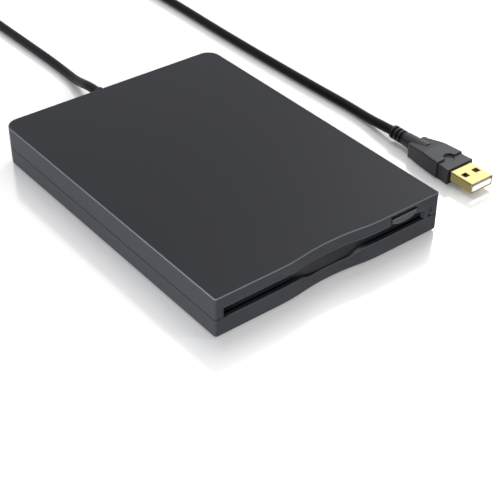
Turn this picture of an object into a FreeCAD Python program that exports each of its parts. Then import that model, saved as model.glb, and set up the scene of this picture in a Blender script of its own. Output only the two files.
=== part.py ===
"""External floppy disk drive with a fixed USB lead.

Millimetres, +Z up.  The origin is the middle of the case's footprint on the
surface that it stands on.  The disk slot faces -Y and the eject button is at
its right, towards +X.
"""

import FreeCAD, Part
import math
import os
import Sketcher
from FreeCAD import Placement, Rotation, Vector

doc = FreeCAD.newDocument("floppy_drive")
sheet = doc.addObject("Spreadsheet::Sheet", "Sizes")
nodes = []


# ---------------------------------------------------------------- sizes

class Size:
    """A number together with the sheet expression that it comes from."""

    def __init__(self, value, text=None):
        self.value = float(value)
        self.text = text or "({:.10g})".format(float(value))

    def __add__(self, other):
        other = as_size(other)
        return Size(self.value + other.value, "({} + {})".format(self.text, other.text))

    def __sub__(self, other):
        other = as_size(other)
        return Size(self.value - other.value, "({} - {})".format(self.text, other.text))

    def __mul__(self, other):
        other = as_size(other)
        return Size(self.value * other.value, "({} * {})".format(self.text, other.text))

    def __truediv__(self, other):
        other = as_size(other)
        return Size(self.value / other.value, "({} / {})".format(self.text, other.text))

    def __radd__(self, other):
        return as_size(other) + self

    def __rsub__(self, other):
        return as_size(other) - self

    def __rmul__(self, other):
        return as_size(other) * self

    def __neg__(self):
        return Size(-self.value, "(0 - {})".format(self.text))


def as_size(number):
    return number if isinstance(number, Size) else Size(number)


def cosine(angle):
    return Size(math.cos(math.radians(angle.value)), "cos({})".format(angle.text))


def sine(angle):
    return Size(math.sin(math.radians(angle.value)), "sin({})".format(angle.text))


def size(alias, value, note):
    """Write a driving dimension into the sheet and return it."""
    row = sheet_rows[0] = sheet_rows[0] + 1
    sheet.set("A{}".format(row), alias)
    sheet.set("B{}".format(row), str(value))
    sheet.set("C{}".format(row), note)
    sheet.setAlias("B{}".format(row), alias)
    return Size(value, "Sizes." + alias)


sheet_rows = [0]

# Making
overrun = size("overrun", 1.0, "how far a cutting tool runs past the face that it cuts")

# Case
case_width = size("case_width", 105.0, "case, left to right")
case_depth = size("case_depth", 143.0, "case, front to back")
case_height = size("case_height", 16.6, "case, without its feet")
foot_proud = size("foot_proud", 0.8, "how far the feet stand out below the case")
wall = size("wall", 1.8, "side and rear walls")
floor_gauge = size("floor_gauge", 1.6, "floor of the lower cover")
roof_gauge = size("roof_gauge", 1.6, "roof of the upper cover")
parting_height = size("parting_height", 7.36, "joint of the covers above the case's underside")
rear_corner = size("rear_corner", 6.0, "plan radius of the rear corners")
front_corner = size("front_corner", 1.0, "plan radius of the front corners")
sharp_corner = size("sharp_corner", 0.2, "front corners of the deeper walls")
edge_round = size("edge_round", 0.5, "rounding of the upper and lower edges")
gap_height = size("gap_height", 0.25, "shadow gap between the covers")
gap_depth = size("gap_depth", 0.5, "depth of the shadow gap")
lip_gauge = size("lip_gauge", 0.8, "locating lip on the lower cover")
lip_height = size("lip_height", 0.8, "height of the locating lip")
lip_room = size("lip_room", 0.1, "room round the locating lip")
scoop_half = size("scoop_half", 24.0, "half width of the scoop in the front")
scoop_depth = size("scoop_depth", 1.75, "depth of the scoop in the front")
scoop_turn = size("scoop_turn", 13.5, "half width of the scoop where its curve turns over")
front_wall_upper = size("front_wall_upper", 2.5, "front wall above the slot")
front_wall_lower = size("front_wall_lower", 1.5, "front wall below the slot")

# Slot and finger notch
slot_height = size("slot_height", 4.28, "height of the disk slot")
slot_left_room = size("slot_left_room", 3.5, "left end of the slot from the case's side")
slot_right_room = size("slot_right_room", 6.9, "right end of the slot from the case's side")
notch_half = size("notch_half", 17.5, "half width of the finger notch at the lip")
notch_flat = size("notch_flat", 8.0, "half width of the finger notch at its bottom")
notch_depth = size("notch_depth", 1.86, "depth of the finger notch")

# Slot door
lug_width = size("lug_width", 1.5, "hinge lug at the right end of the door")
lug_reach = size("lug_reach", 0.1, "left lug of the door past the end of the slot")
lug_drop = size("lug_drop", 0.54, "hinge lugs below the slot top")
lug_depth = size("lug_depth", 2.1, "hinge lugs behind the front wall")
door_gauge = size("door_gauge", 0.9, "thickness of the slot door")
door_setback = size("door_setback", 2.1, "door face behind the front of the case")
door_room = size("door_room", 0.3, "room at the ends of the door")
door_top_room = size("door_top_room", 0.1, "room between door and slot top")
door_lift = size("door_lift", 0.2, "room between door and slot lip")
hinge_back = size("hinge_back", 3.1, "door hinge axis behind the front of the case")
hinge_rise = size("hinge_rise", 0.76, "door hinge axis above the slot top")
hinge_radius = size("hinge_radius", 0.5, "door hinge pin")
hinge_room = size("hinge_room", 0.05, "radial room in the door hinge")
hinge_pin_length = size("hinge_pin_length", 1.3, "hinge pin beyond the door's ends")
web_gauge = size("web_gauge", 0.7, "web between the door and its hinge pin")
web_room = size("web_room", 0.1, "room between the web and the front wall")
web_root = size("web_root", 0.3, "web below the top of the door")
door_spring_side = size("door_spring_side", 4.75, "door spring from the left end of the door")
door_spring_length = size("door_spring_length", 2.1, "coil of the door spring")
door_spring_radius = size("door_spring_radius", 1.1, "mean radius of the door spring")
door_spring_wire = size("door_spring_wire", 0.15, "wire radius of the door spring")
door_spring_room = size("door_spring_room", 0.75, "front wall beside the door spring")
door_spring_depth = size("door_spring_depth", 1.0, "pocket for the door spring in the front wall")
door_spring_notch = size("door_spring_notch", 0.5, "door web beside the door spring")

# Eject button
button_inset = size("button_inset", 17.6, "middle of the button from the case's right side")
button_width = size("button_width", 12.4, "width of the button face")
button_gauge = size("button_gauge", 1.55, "thickness of the button face")
button_top_drop = size("button_top_drop", 2.7, "button top below the roof")
button_side_height = size("button_side_height", 1.6, "button face height at its ends")
button_belly = size("button_belly", 1.6, "drop of the curved lower edge of the button")
recess_left = size("recess_left", 0.8, "recess to the left of the button")
recess_right = size("recess_right", 0.3, "recess to the right of the button")
recess_depth = size("recess_depth", 1.7, "recess around the button")
recess_top_drop = size("recess_top_drop", 1.0, "recess top below the roof")
stem_width = size("stem_width", 9.4, "stem of the button")
stem_gauge = size("stem_gauge", 0.8, "thickness of the button stem")
stem_room = size("stem_room", 0.2, "room around the button stem")
socket_gauge = size("socket_gauge", 1.6, "height of the button's socket block")
socket_length = size("socket_length", 4.2, "length of the button's socket block")
socket_drop = size("socket_drop", 0.5, "socket block below the slider")
socket_inset = size("socket_inset", 0.2, "socket block from the sides of the stem")
socket_wall = size("socket_wall", 0.8, "slider's tab from the sides of the stem")
button_edge = size("button_edge", 0.3, "rounding of the button face")

# Lamp
lens_inset = size("lens_inset", 4.3, "middle of the lamp lens from the case's right side")
lens_width = size("lens_width", 1.1, "width of the lamp lens")
lens_height = size("lens_height", 3.0, "height of the lamp lens")
lens_rise = size("lens_rise", 0.74, "lamp lens above the joint of the covers")
lens_room = size("lens_room", 0.45, "shadow gap around the lamp lens")
lens_setback = size("lens_setback", 0.25, "lamp lens behind the front face")
lens_rim = size("lens_rim", 0.3, "flange of the lens beyond its window")
lens_rim_gauge = size("lens_rim_gauge", 0.5, "thickness of the lens flange")
lens_rim_rise = size("lens_rim_rise", 2.0, "lens flange above the foot of the lens")
light_pipe_half = size("light_pipe_half", 0.5, "half width of the light pipe behind the lens")
light_pipe_rise = size("light_pipe_rise", 2.15, "top of the light pipe above the foot of the lens")
lamp_gap = size("lamp_gap", 0.1, "light pipe to lamp")
lamp_back = size("lamp_back", 3.5, "lamp behind the front wall")
lamp_half = size("lamp_half", 0.8, "half width of the lamp")
lamp_height = size("lamp_height", 2.4, "height of the lamp")
lamp_length = size("lamp_length", 1.6, "length of the lamp")
lamp_drop = size("lamp_drop", 0.25, "foot of the lamp below the foot of the lens")
lamp_leg = size("lamp_leg", 0.4, "legs of the lamp")
lamp_leg_pitch = size("lamp_leg_pitch", 0.9, "legs of the lamp, middle to middle")

# Feet and screws
foot_radius = size("foot_radius", 4.0, "rubber foot")
foot_recess = size("foot_recess", 0.6, "recess that holds a foot")
foot_room = size("foot_room", 0.1, "room around a foot in its recess")
foot_chamfer = size("foot_chamfer", 0.3, "chamfer round the tread of a foot")
foot_side = size("foot_side", 12.5, "feet from the case's sides")
foot_front = size("foot_front", 11.5, "front feet from the front")
foot_rear = size("foot_rear", 17.5, "rear feet from the back")
boss_radius = size("boss_radius", 3.4, "screw bosses at the rear corners")
boss_inset = size("boss_inset", 8.0, "screw bosses from the case's sides")
boss_step = size("boss_step", 0.4, "upper bosses slimmer than the lower ones")
pilot_cover = size("pilot_cover", 1.0, "plastic between a pilot hole and the roof")
screw_head_radius = size("screw_head_radius", 2.2, "head of a case screw")
screw_head_gauge = size("screw_head_gauge", 1.4, "thickness of a case screw head")
screw_radius = size("screw_radius", 1.15, "shank of a case screw")
screw_length = size("screw_length", 9.5, "shank length of a case screw")
screw_sink = size("screw_sink", 2.8, "counterbore of a case screw")
screw_room = size("screw_room", 0.2, "room around a screw in its hole")
thread_room = size("thread_room", 0.02, "room around a screw in its thread")
thread_proud = size("thread_proud", 0.7, "chassis screws beyond the chassis floor")
cross_reach = size("cross_reach", 0.6, "cross recess, share of the screw head's radius")
cross_half = size("cross_half", 0.14, "half width of the cross recess, share of the head's radius")
cross_depth = size("cross_depth", 0.5, "depth of the cross recess, share of the head's thickness")
drive_screw_radius = size("drive_screw_radius", 1.2, "shank of a chassis screw")
drive_screw_sink = size("drive_screw_sink", 0.9, "counterbore of a chassis screw")
drive_screw_gauge = size("drive_screw_gauge", 0.7, "head thickness of a chassis screw")
drive_screw_side = size("drive_screw_side", 16.5, "chassis screws from the case's sides")
drive_screw_front = size("drive_screw_front", 21.5, "front chassis screws from the front")
drive_screw_rear = size("drive_screw_rear", 23.5, "rear chassis screws from the back")

# Chassis
gauge = size("gauge", 0.8, "sheet of the chassis")
chassis_room = size("chassis_room", 2.8, "case wall to chassis")
chassis_setback = size("chassis_setback", 9.5, "front of the chassis from the front of the case")
chassis_rear_room = size("chassis_rear_room", 13.0, "rear of the chassis from the back of the case")
chassis_height = size("chassis_height", 11.5, "height of the chassis walls")
wall_setback = size("wall_setback", 14.5, "ends of the chassis walls from the ends of the case")
rear_flange_inset = size("rear_flange_inset", 8.0, "rear flange of the chassis from its sides")
rear_flange_rise = size("rear_flange_rise", 4.1, "rear flange of the chassis above the case floor")
ledge_gauge = size("ledge_gauge", 0.6, "ledges that carry the slider")
ledge_width = size("ledge_width", 2.6, "how far the ledges reach inwards")
ledge_length = size("ledge_length", 6.0, "length of a ledge")
ledge_setback = size("ledge_setback", 19.5, "front ledges from the front of the case")
ledge_middle = size("ledge_middle", -2.0, "start of the middle ledges")
ledge_rear_room = size("ledge_rear_room", 37.5, "start of the rear ledges from the back of the case")
shield_gauge = size("shield_gauge", 0.4, "sheet of the top shield")
shield_rise = size("shield_rise", 12.6, "underside of the shield above the case floor")
shield_setback = size("shield_setback", 17.5, "front of the shield from the front of the case")
shield_flange = size("shield_flange", 3.4, "height of the shield's side flanges")
window_half = size("window_half", 10.0, "half width of the shield's window over the head arm")
window_front = size("window_front", 20.0, "window in front of the heads")
window_back = size("window_back", 4.0, "window behind the head arm's hinge")

# Disk cradle
bay_height = size("bay_height", 4.2, "room for the disk in the cradle")
cradle_gauge = size("cradle_gauge", 0.6, "sheet of the cradle")
cradle_setback = size("cradle_setback", 11.5, "front of the cradle from the front of the case")
cradle_rear = size("cradle_rear", 29.0, "rear of the cradle from the middle")
cradle_lip = size("cradle_lip", 4.9, "width of the cradle's lips")
cradle_drop = size("cradle_drop", 2.4, "how far the cradle lowers the disk")
stop_inner = size("stop_inner", 18.5, "disk stops from the middle")
stop_width = size("stop_width", 7.0, "width of a disk stop")
stop_rise = size("stop_rise", 0.9, "disk stops above the cradle lips")
lip_below_slot = size("lip_below_slot", 0.06, "cradle lips below the slot lip")
head_slot_half = size("head_slot_half", 7.5, "half width of the slot for the head arm")
head_slot_front = size("head_slot_front", -1.5, "front end of the slot for the head arm")
guide_radius = size("guide_radius", 1.0, "cradle guide pins")
guide_room = size("guide_room", 0.1, "room around a guide pin in its slot")
guide_front = size("guide_front", -32.0, "front guide pins")
guide_rear = size("guide_rear", 15.0, "rear guide pins")
guide_rise = size("guide_rise", 2.1, "guide pins above the cradle lips")

# Eject slider
slider_gauge = size("slider_gauge", 0.6, "sheet of the slider")
slider_room = size("slider_room", 0.1, "room between slider and ledge")
slider_side_room = size("slider_side_room", 0.3, "slider to chassis wall")
cradle_side_room = size("cradle_side_room", 0.3, "cradle to the slider's flanges")
guide_proud = size("guide_proud", 0.4, "guide pins beyond the chassis")
slider_bar = size("slider_bar", 9.8, "width of the slider's side bars")
slider_setback = size("slider_setback", 13.5, "front of the slider from the front of the case")
slider_cross = size("slider_cross", 14.0, "depth of the slider's cross bar")
slider_rear_room = size("slider_rear_room", 23.5, "rear of the slider from the back of the case")
slider_travel = size("slider_travel", 5.0, "travel of slider and button")
slider_tab = size("slider_tab", 3.0, "tab that enters the button")
cam_wall = size("cam_wall", 1.6, "metal around a cam slot")
cam_plate = size("cam_plate", 4.0, "metal before and behind a cam slot")
slider_hook_back = size("slider_hook_back", 1.0, "spring tab from the rear end of the slider")

# Springs on the slider
spring_inset = size("spring_inset", 3.8, "slider springs from the slider's edge")
spring_radius = size("spring_radius", 1.3, "mean radius of a slider spring")
spring_wire = size("spring_wire", 0.2, "wire radius of a slider spring")
spring_height = size("spring_height", 8.6, "slider springs above the case floor")
spring_front = size("spring_front", 31.0, "fixed end of the slider springs")
spring_pitch = size("spring_pitch", 1.0, "slider springs, turn to turn")
spring_seat = size("spring_seat", 0.35, "end of a slider spring from its tab")
spring_tab_width = size("spring_tab_width", 4.0, "tabs that hold the slider springs")
spring_tab_half = size("spring_tab_half", 2.0, "half height of the chassis tabs of the slider springs")
spring_tab_room = size("spring_tab_room", 0.5, "chassis tabs narrower than the slider's")
spring_tab_drop = size("spring_tab_drop", 1.8, "slider's tabs below the slider springs' middle")

# Shutter lever
lever_side = size("lever_side", 19.5, "pivot of the shutter lever from the case's side")
lever_back = size("lever_back", 1.5, "pivot of the shutter lever behind the cradle's edge")
lever_reach = size("lever_reach", 26.0, "pivot to tip of the shutter lever")
lever_rest = size("lever_rest", 52.0, "lever angle in front of the sideways line, at rest")
lever_swing = size("lever_swing", 40.0, "swing of the shutter lever")
lever_gauge = size("lever_gauge", 0.6, "sheet of the shutter lever")
lever_hub = size("lever_hub", 2.4, "hub radius of the shutter lever")
lever_width = size("lever_width", 3.0, "arm width of the shutter lever")
lever_tip = size("lever_tip", 1.0, "tip radius of the shutter lever")
lever_slot_room = size("lever_slot_room", 0.35, "room beside the tip in the cradle's arc slot")
lever_slot_end = size("lever_slot_end", 3.6, "degrees that the arc slot runs past the lever's swing")
lever_taper = size("lever_taper", 0.2, "arm of the shutter lever beside its tip pin")
lever_eye = size("lever_eye", 0.5, "end of the shutter lever round its tip pin")
lever_tip_room = size("lever_tip_room", 0.5, "tip pin of the shutter lever above the cradle lips")
lever_plate = size("lever_plate", 5.0, "half size of the cradle's plate under the lever's pivot")
lever_pin_radius = size("lever_pin_radius", 1.0, "pivot pin of the shutter lever")
rivet_gap = size("rivet_gap", 0.5, "shutter lever to the head of its rivet")
rivet_rim = size("rivet_rim", 0.7, "head of the lever's rivet round its shank")
rivet_gauge = size("rivet_gauge", 0.3, "thickness of the rivet head")
lever_spring_radius = size("lever_spring_radius", 1.45, "turn of the shutter lever's spring")
lever_spring_wire = size("lever_spring_wire", 0.12, "wire radius of the shutter lever's spring")
lever_spring_rise = size("lever_spring_rise", 0.25, "rise of the lever spring's turn")
lever_spring_gap = size("lever_spring_gap", 0.01, "lever spring above its lever")
pin_room = size("pin_room", 0.04, "radial room of a pin that turns")

# Spindle
spindle_y = size("spindle_y", -21.0, "spindle axis")
shaft_radius = size("shaft_radius", 1.25, "spindle shaft")
shaft_room = size("shaft_room", 0.03, "radial room in the spindle bearing")
bearing_radius = size("bearing_radius", 3.0, "spindle bearing")
bearing_flange = size("bearing_flange", 4.6, "flange of the spindle bearing")
bearing_height = size("bearing_height", 2.1, "spindle bearing above the chassis")
motor_board_gauge = size("motor_board_gauge", 0.6, "spindle motor board")
motor_board_half = size("motor_board_half", 30.0, "half width of the spindle motor board")
motor_board_front = size("motor_board_front", 25.0, "board in front of the spindle")
motor_board_rear = size("motor_board_rear", 25.0, "board behind the spindle")
flange_gauge = size("flange_gauge", 0.4, "bearing flange thickness")
stator_gauge = size("stator_gauge", 0.6, "stator lamination")
stator_hub_radius = size("stator_hub_radius", 7.5, "hub of the stator")
stator_radius = size("stator_radius", 16.0, "stator tooth tips")
tooth_width = size("tooth_width", 2.4, "stator tooth")
tooth_root = size("tooth_root", 2.0, "stator teeth start outside the bearing")
coil_width = size("coil_width", 4.2, "winding on a tooth")
coil_start = size("coil_start", 9.0, "inner end of a winding")
coil_end = size("coil_end", 14.4, "outer end of a winding")
coil_rise = size("coil_rise", 0.25, "winding above and below its tooth")
rotor_radius = size("rotor_radius", 19.5, "rotor cup")
rotor_gauge = size("rotor_gauge", 0.4, "sheet of the rotor cup")
rotor_rise = size("rotor_rise", 2.3, "rotor plate above the chassis floor")
rotor_skirt = size("rotor_skirt", 1.3, "skirt of the rotor cup")
skirt_gauge = size("skirt_gauge", 0.6, "wall of the rotor's skirt")
magnet_gauge = size("magnet_gauge", 1.6, "ring magnet")
hub_radius = size("hub_radius", 11.5, "disk table")
hub_gauge = size("hub_gauge", 0.6, "disk table height")
shaft_rise = size("shaft_rise", 0.9, "spindle boss above the disk table")
shaft_lift = size("shaft_lift", 0.3, "lower end of the spindle above the chassis floor")
shaft_chamfer = size("shaft_chamfer", 0.3, "chamfer of the spindle boss")
drive_pin_reach = size("drive_pin_reach", 10.0, "drive pin from the spindle axis")
drive_pin_radius = size("drive_pin_radius", 0.9, "drive pin")
drive_pin_rise = size("drive_pin_rise", 1.0, "drive pin above the disk table")
drive_pin_lift = size("drive_pin_lift", 0.05, "foot of the drive pin above the rotor's underside")
drive_pin_chamfer = size("drive_pin_chamfer", 0.2, "chamfer of the drive pin")

# Head carriage
outer_track = size("outer_track", 39.5, "radius of the outermost track")
carriage_travel = size("carriage_travel", 14.8125, "79 steps between tracks 0.1875 apart")
rod_x = size("rod_x", -10.0, "guide rod")
rod_height = size("rod_height", 2.0, "guide rod above the case floor")
rod_radius = size("rod_radius", 0.75, "guide rod")
rod_front = size("rod_front", 6.0, "front end of the guide rod")
rod_rear_room = size("rod_rear_room", 20.7, "rear end of the guide rod from the back of the case")
rod_room = size("rod_room", 0.04, "radial room in the carriage bush")
carriage_gauge = size("carriage_gauge", 1.3, "carriage arm under the disk")
carriage_lift = size("carriage_lift", 1.0, "carriage above the chassis floor")
carriage_half = size("carriage_half", 6.0, "half width of the carriage arm")
carriage_room = size("carriage_room", 1.2, "carriage to the rear rod clamp")
clamp_length = size("clamp_length", 3.0, "rod clamps along the rod")
clamp_half = size("clamp_half", 2.0, "half width of a rod clamp")
clamp_rise = size("clamp_rise", 1.1, "rod clamps above the rod's axis")
clamp_toe = size("clamp_toe", 6.0, "toe of a rod clamp beside its post")
clamp_hole_left = size("clamp_hole_left", 5.5, "screw of the front rod clamp from the rod")
clamp_hole_right = size("clamp_hole_right", 5.0, "screw of the rear rod clamp from the rod")
bush_half = size("bush_half", 2.8, "half width of the bush block")
bush_back = size("bush_back", 12.5, "front end of the bush block behind the heads")
bush_lift = size("bush_lift", 0.2, "bush block above the chassis floor")
wing_depth = size("wing_depth", 3.1, "wing that carries the needle, along the carriage")
riser_gauge = size("riser_gauge", 1.8, "upright of the wing")
riser_rise = size("riser_rise", 0.9, "upright of the wing above the lead screw's axis")
post_length = size("post_length", 2.6, "hinge post along the carriage")
ear_drop = size("ear_drop", 2.0, "foot of the hinge ears below the hinge axis")
ear_rise = size("ear_rise", 1.3, "hinge ears above the hinge axis")
post_half = size("post_half", 7.0, "half width of the hinge post")
ear_gauge = size("ear_gauge", 1.6, "hinge ears of the carriage")
head_hinge_inset = size("head_hinge_inset", 1.2, "head arm hinge from the carriage's rear")
head_hinge_rise = size("head_hinge_rise", 10.2, "head arm hinge above the case floor")
head_pin_radius = size("head_pin_radius", 0.7, "head arm hinge pin")
barrel_radius = size("barrel_radius", 1.2, "barrel of the head arm")
barrel_room = size("barrel_room", 0.2, "room beside the barrel")
arm_gauge = size("arm_gauge", 1.0, "head arm")
arm_half = size("arm_half", 4.0, "half width of the head arm")
arm_neck_half = size("arm_neck_half", 2.8, "half width of the head arm at its barrel")
arm_reach = size("arm_reach", 3.5, "head arm in front of the heads")
neck_length = size("neck_length", 3.0, "neck of the head arm in front of the hinge post")
arm_rise = size("arm_rise", 0.35, "underside of the head arm above its hinge axis")
head_half = size("head_half", 2.5, "half size of a head's gimbal")
head_gauge = size("head_gauge", 0.45, "upper head")
lower_head_height = size("lower_head_height", 1.8, "lower head on its carriage")
gimbal_gauge = size("gimbal_gauge", 1.3, "lower head's gimbal")
face_side = size("face_side", 1.6, "half width of the lower head's face")
face_along = size("face_along", 1.8, "half length of the lower head's face")
arm_setback = size("arm_setback", 0.5, "carriage arm behind the tip of the head arm")
head_spring_x = size("head_spring_x", 3.35, "head arm's spring from the middle")
head_spring_radius = size("head_spring_radius", 1.5, "mean radius of the head arm's spring")
head_spring_wire = size("head_spring_wire", 0.14, "wire radius of the head arm's spring")
head_spring_length = size("head_spring_length", 1.4, "coil of the head spring")

# Stepper
screw_x = size("screw_x", 14.0, "lead screw from the middle")
screw_height = size("screw_height", 6.0, "lead screw above the case floor")
screw_core = size("screw_core", 1.0, "core of the lead screw")
thread_radius = size("thread_radius", 0.3, "ridge of the lead screw")
screw_lead = size("screw_lead", 3.75, "lead of the lead screw")
screw_pivot = size("screw_pivot", 0.7, "pivot of the lead screw")
screw_front_room = size("screw_front_room", 0.2, "core of the lead screw to its front bearing")
screw_rear_room = size("screw_rear_room", 0.4, "core of the lead screw to the motor bracket")
pivot_reach = size("pivot_reach", 1.0, "front pivot of the lead screw, length")
shaft_in_motor = size("shaft_in_motor", 2.0, "lead screw inside the motor")
shaft_end_room = size("shaft_end_room", 0.3, "end of the motor's bore from the lead screw")
thread_inset = size("thread_inset", 0.4, "ridge of the lead screw from the ends of its core")
bracket_gauge = size("bracket_gauge", 0.6, "motor bracket")
bracket_room = size("bracket_room", 23.5, "motor bracket from the back of the case")
bracket_left = size("bracket_left", 5.0, "motor bracket to the left of the lead screw")
bracket_right = size("bracket_right", 8.0, "motor bracket to the right of the lead screw")
bracket_rise = size("bracket_rise", 4.1, "motor bracket above the lead screw's axis")
bracket_foot_left = size("bracket_foot_left", 2.5, "motor bracket's foot from the lead screw")
bracket_foot = size("bracket_foot", 7.0, "motor bracket's foot, front to back")
bracket_hole_side = size("bracket_hole_side", 5.0, "motor bracket's screw from the lead screw")
bracket_hole_front = size("bracket_hole_front", 4.5, "motor bracket's screw in front of the bracket")
bearing_left = size("bearing_left", 2.6, "screw bearing to the left of the lead screw")
bearing_right = size("bearing_right", 4.0, "screw bearing to the right of the lead screw")
bearing_rise = size("bearing_rise", 1.4, "screw bearing above the lead screw's axis")
bearing_foot_left = size("bearing_foot_left", 1.0, "screw bearing's foot to the left of the lead screw")
bearing_foot = size("bearing_foot", 5.2, "screw bearing's foot, front to back")
bearing_hole_side = size("bearing_hole_side", 1.5, "screw bearing's screw from the lead screw")
bearing_hole_back = size("bearing_hole_back", 3.1, "screw bearing's screw behind the bearing")
bearing_room = size("bearing_room", 0.7875, "needle to the screw bearing at the innermost track")
needle_inset = size("needle_inset", 0.6, "needle from the carriage's rear")
motor_radius = size("motor_radius", 5.0, "stepper motor")
motor_length = size("motor_length", 9.0, "stepper motor")
motor_boss = size("motor_boss", 2.0, "boss of the stepper motor")
motor_step = size("motor_step", 0.4, "step round the rear of the stepper motor")
needle_root = size("needle_root", 10.6, "side of the carriage that holds the needle")
needle_room = size("needle_room", 0.3, "needle to thread")
needle_radius = size("needle_radius", 0.5, "needle of the carriage")

# Boards
board_gauge = size("board_gauge", 0.8, "circuit boards")
board_lift = size("board_lift", 1.2, "main board above the chassis floor")
main_board_side = size("main_board_side", 6.5, "main board from the case's left side")
main_board_gap = size("main_board_gap", 6.0, "main board from the guide rod")
main_board_back = size("main_board_back", 2.8, "main board behind the cradle")
main_board_room = size("main_board_room", 14.5, "main board from the back of the case")
hole_inset = size("hole_inset", 3.0, "screw holes from the edges of the boards")
hole_room = size("hole_room", 0.1, "room around a small screw in a board or bracket")
chip_half = size("chip_half", 4.0, "half size of the controller chip")
chip_gauge = size("chip_gauge", 1.2, "controller chip")
chip_back = size("chip_back", 5.2, "controller chip from the front edge of its board")
small_chip_gauge = size("small_chip_gauge", 1.0, "small chips")
small_chip_inset = size("small_chip_inset", 1.2, "small chips from the front edge of the board")
small_chip_depth = size("small_chip_depth", 3.2, "small chips, front to back")
driver_side = size("driver_side", 6.0, "motor driver from the right edge of the main board")
driver_width = size("driver_width", 3.5, "motor driver chip")
memory_side = size("memory_side", 7.0, "memory chip from the left edge of the main board")
memory_width = size("memory_width", 5.0, "memory chip")
clock_side = size("clock_side", 4.0, "clock chip from the left edge of the main board")
clock_width = size("clock_width", 3.5, "clock chip")
clock_back = size("clock_back", 10.5, "clock chip from the front edge of the main board")
capacitor_side = size("capacitor_side", 5.6, "capacitor from the left edge of the main board")
capacitor_back = size("capacitor_back", 7.6, "capacitor from the front edge of the main board")
capacitor_radius = size("capacitor_radius", 1.8, "capacitor of the main board")
capacitor_height = size("capacitor_height", 3.0, "capacitor of the main board")
usb_post_inset = size("usb_post_inset", 5.2, "screws of the USB board from its rear edge")
usb_hole_left = size("usb_hole_left", 4.0, "left screw of the USB board from its left edge")
usb_hole_right = size("usb_hole_right", 5.0, "right screw of the USB board from its right edge")
bridge_side = size("bridge_side", 13.0, "middle of the bridge chip from the left edge of the USB board")
bridge_half = size("bridge_half", 3.5, "half width of the bridge chip")
bridge_depth = size("bridge_depth", 6.0, "bridge chip, front to back")
bridge_gauge = size("bridge_gauge", 1.2, "bridge chip")
bridge_front = size("bridge_front", 2.0, "bridge chip in front of the screws")
crystal_gap = size("crystal_gap", 0.7, "crystal beside the bridge chip")
crystal_width = size("crystal_width", 3.0, "crystal of the USB board")
crystal_depth = size("crystal_depth", 5.0, "crystal of the USB board, front to back")
crystal_gauge = size("crystal_gauge", 1.6, "crystal of the USB board")
crystal_front = size("crystal_front", 1.5, "crystal in front of the screws")
regulator_gap = size("regulator_gap", 1.5, "regulator beside the bridge chip")
regulator_width = size("regulator_width", 2.0, "regulator of the USB board")
regulator_depth = size("regulator_depth", 2.5, "regulator of the USB board, front to back")
regulator_gauge = size("regulator_gauge", 0.9, "regulator of the USB board")
cable_inset = size("cable_inset", 8.0, "flat cable from the side edges of the main board")
cable_socket_side = size("cable_socket_side", 1.0, "sockets beside the flat cable")
cable_socket_height = size("cable_socket_height", 1.6, "main board's socket of the flat cable")
cable_socket_depth = size("cable_socket_depth", 2.8, "main board's socket of the flat cable")
cable_socket_inset = size("cable_socket_inset", 0.2, "sockets of the flat cable from the edges of the boards")
usb_socket_depth = size("usb_socket_depth", 1.8, "USB board's socket of the flat cable")
usb_socket_height = size("usb_socket_height", 1.2, "USB board's socket of the flat cable")
head_socket_inset = size("head_socket_inset", 1.5, "socket of the heads' cable from the board's right edge")
head_socket_width = size("head_socket_width", 4.5, "socket of the heads' cable")
head_socket_side = size("head_socket_side", 0.6, "socket of the heads' cable beside the cable")
head_socket_height = size("head_socket_height", 1.0, "socket of the heads' cable")
header_inset = size("header_inset", 0.6, "header of the inner wires from the board's right edge")
header_width = size("header_width", 2.8, "header of the inner wires")
header_front = size("header_front", 0.5, "header of the inner wires from the board's front edge")
header_depth = size("header_depth", 5.0, "header of the inner wires, front to back")
header_height = size("header_height", 2.2, "header of the inner wires")
cable_start = size("cable_start", 0.9, "flat cable above the main board in its socket")
cable_out = size("cable_out", 0.9, "first bend of the flat cable behind the main board")
cable_arch = size("cable_arch", 2.0, "first bend of the flat cable above the main board")
cable_in = size("cable_in", 0.7, "second bend of the flat cable in front of the USB board")
cable_dip = size("cable_dip", 1.5, "second bend of the flat cable above the USB board")
cable_end = size("cable_end", 0.6, "flat cable above the USB board in its socket")
head_flex_out = size("head_flex_out", 0.6, "first bend of the heads' cable beside the board")
head_flex_rise = size("head_flex_rise", 0.5, "first bend of the heads' cable above its socket's slot")
head_flex_in = size("head_flex_in", 1.4, "second bend of the heads' cable beside the carriage")
head_flex_drop = size("head_flex_drop", 3.0, "end of the heads' cable below the arm's hinge")
head_flex_sag = size("head_flex_sag", 0.4, "second bend of the heads' cable below its end")
wire_pitch = size("wire_pitch", 0.9, "inner wires in the gland")
wire_radius = size("wire_radius", 0.35, "inner wires")
wire_out = size("wire_out", 1.6, "straight start of the inner wires in front of the gland")
pin_pitch = size("pin_pitch", 1.1, "pins of the header")
pin_rise = size("pin_rise", 1.2, "inner wires above the USB board at the header")
flex_gauge = size("flex_gauge", 0.15, "flat cables")
usb_board_side = size("usb_board_side", 12.5, "USB board from the case's left side")
usb_board_right = size("usb_board_right", -8.0, "USB board beside the gland")
usb_board_room = size("usb_board_room", 2.3, "USB board from the back of the case")
usb_board_depth = size("usb_board_depth", 9.8, "USB board, front to back")
usb_board_lift = size("usb_board_lift", 2.8, "USB board above the case floor")
post_radius = size("post_radius", 1.6, "posts under the boards")
small_screw_radius = size("small_screw_radius", 0.8, "small screws")
small_screw_length = size("small_screw_length", 2.4, "shank length of the boards' screws")
tip_room = size("tip_room", 0.1, "tips of the mechanism's screws above the case floor")
small_head_radius = size("small_head_radius", 1.4, "heads of the small screws")
small_head_gauge = size("small_head_gauge", 0.6, "heads of the small screws")
front_board_setback = size("front_board_setback", 5.9, "switch board from the front of the case")
front_board_depth = size("front_board_depth", 8.0, "switch board, front to back")
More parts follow.
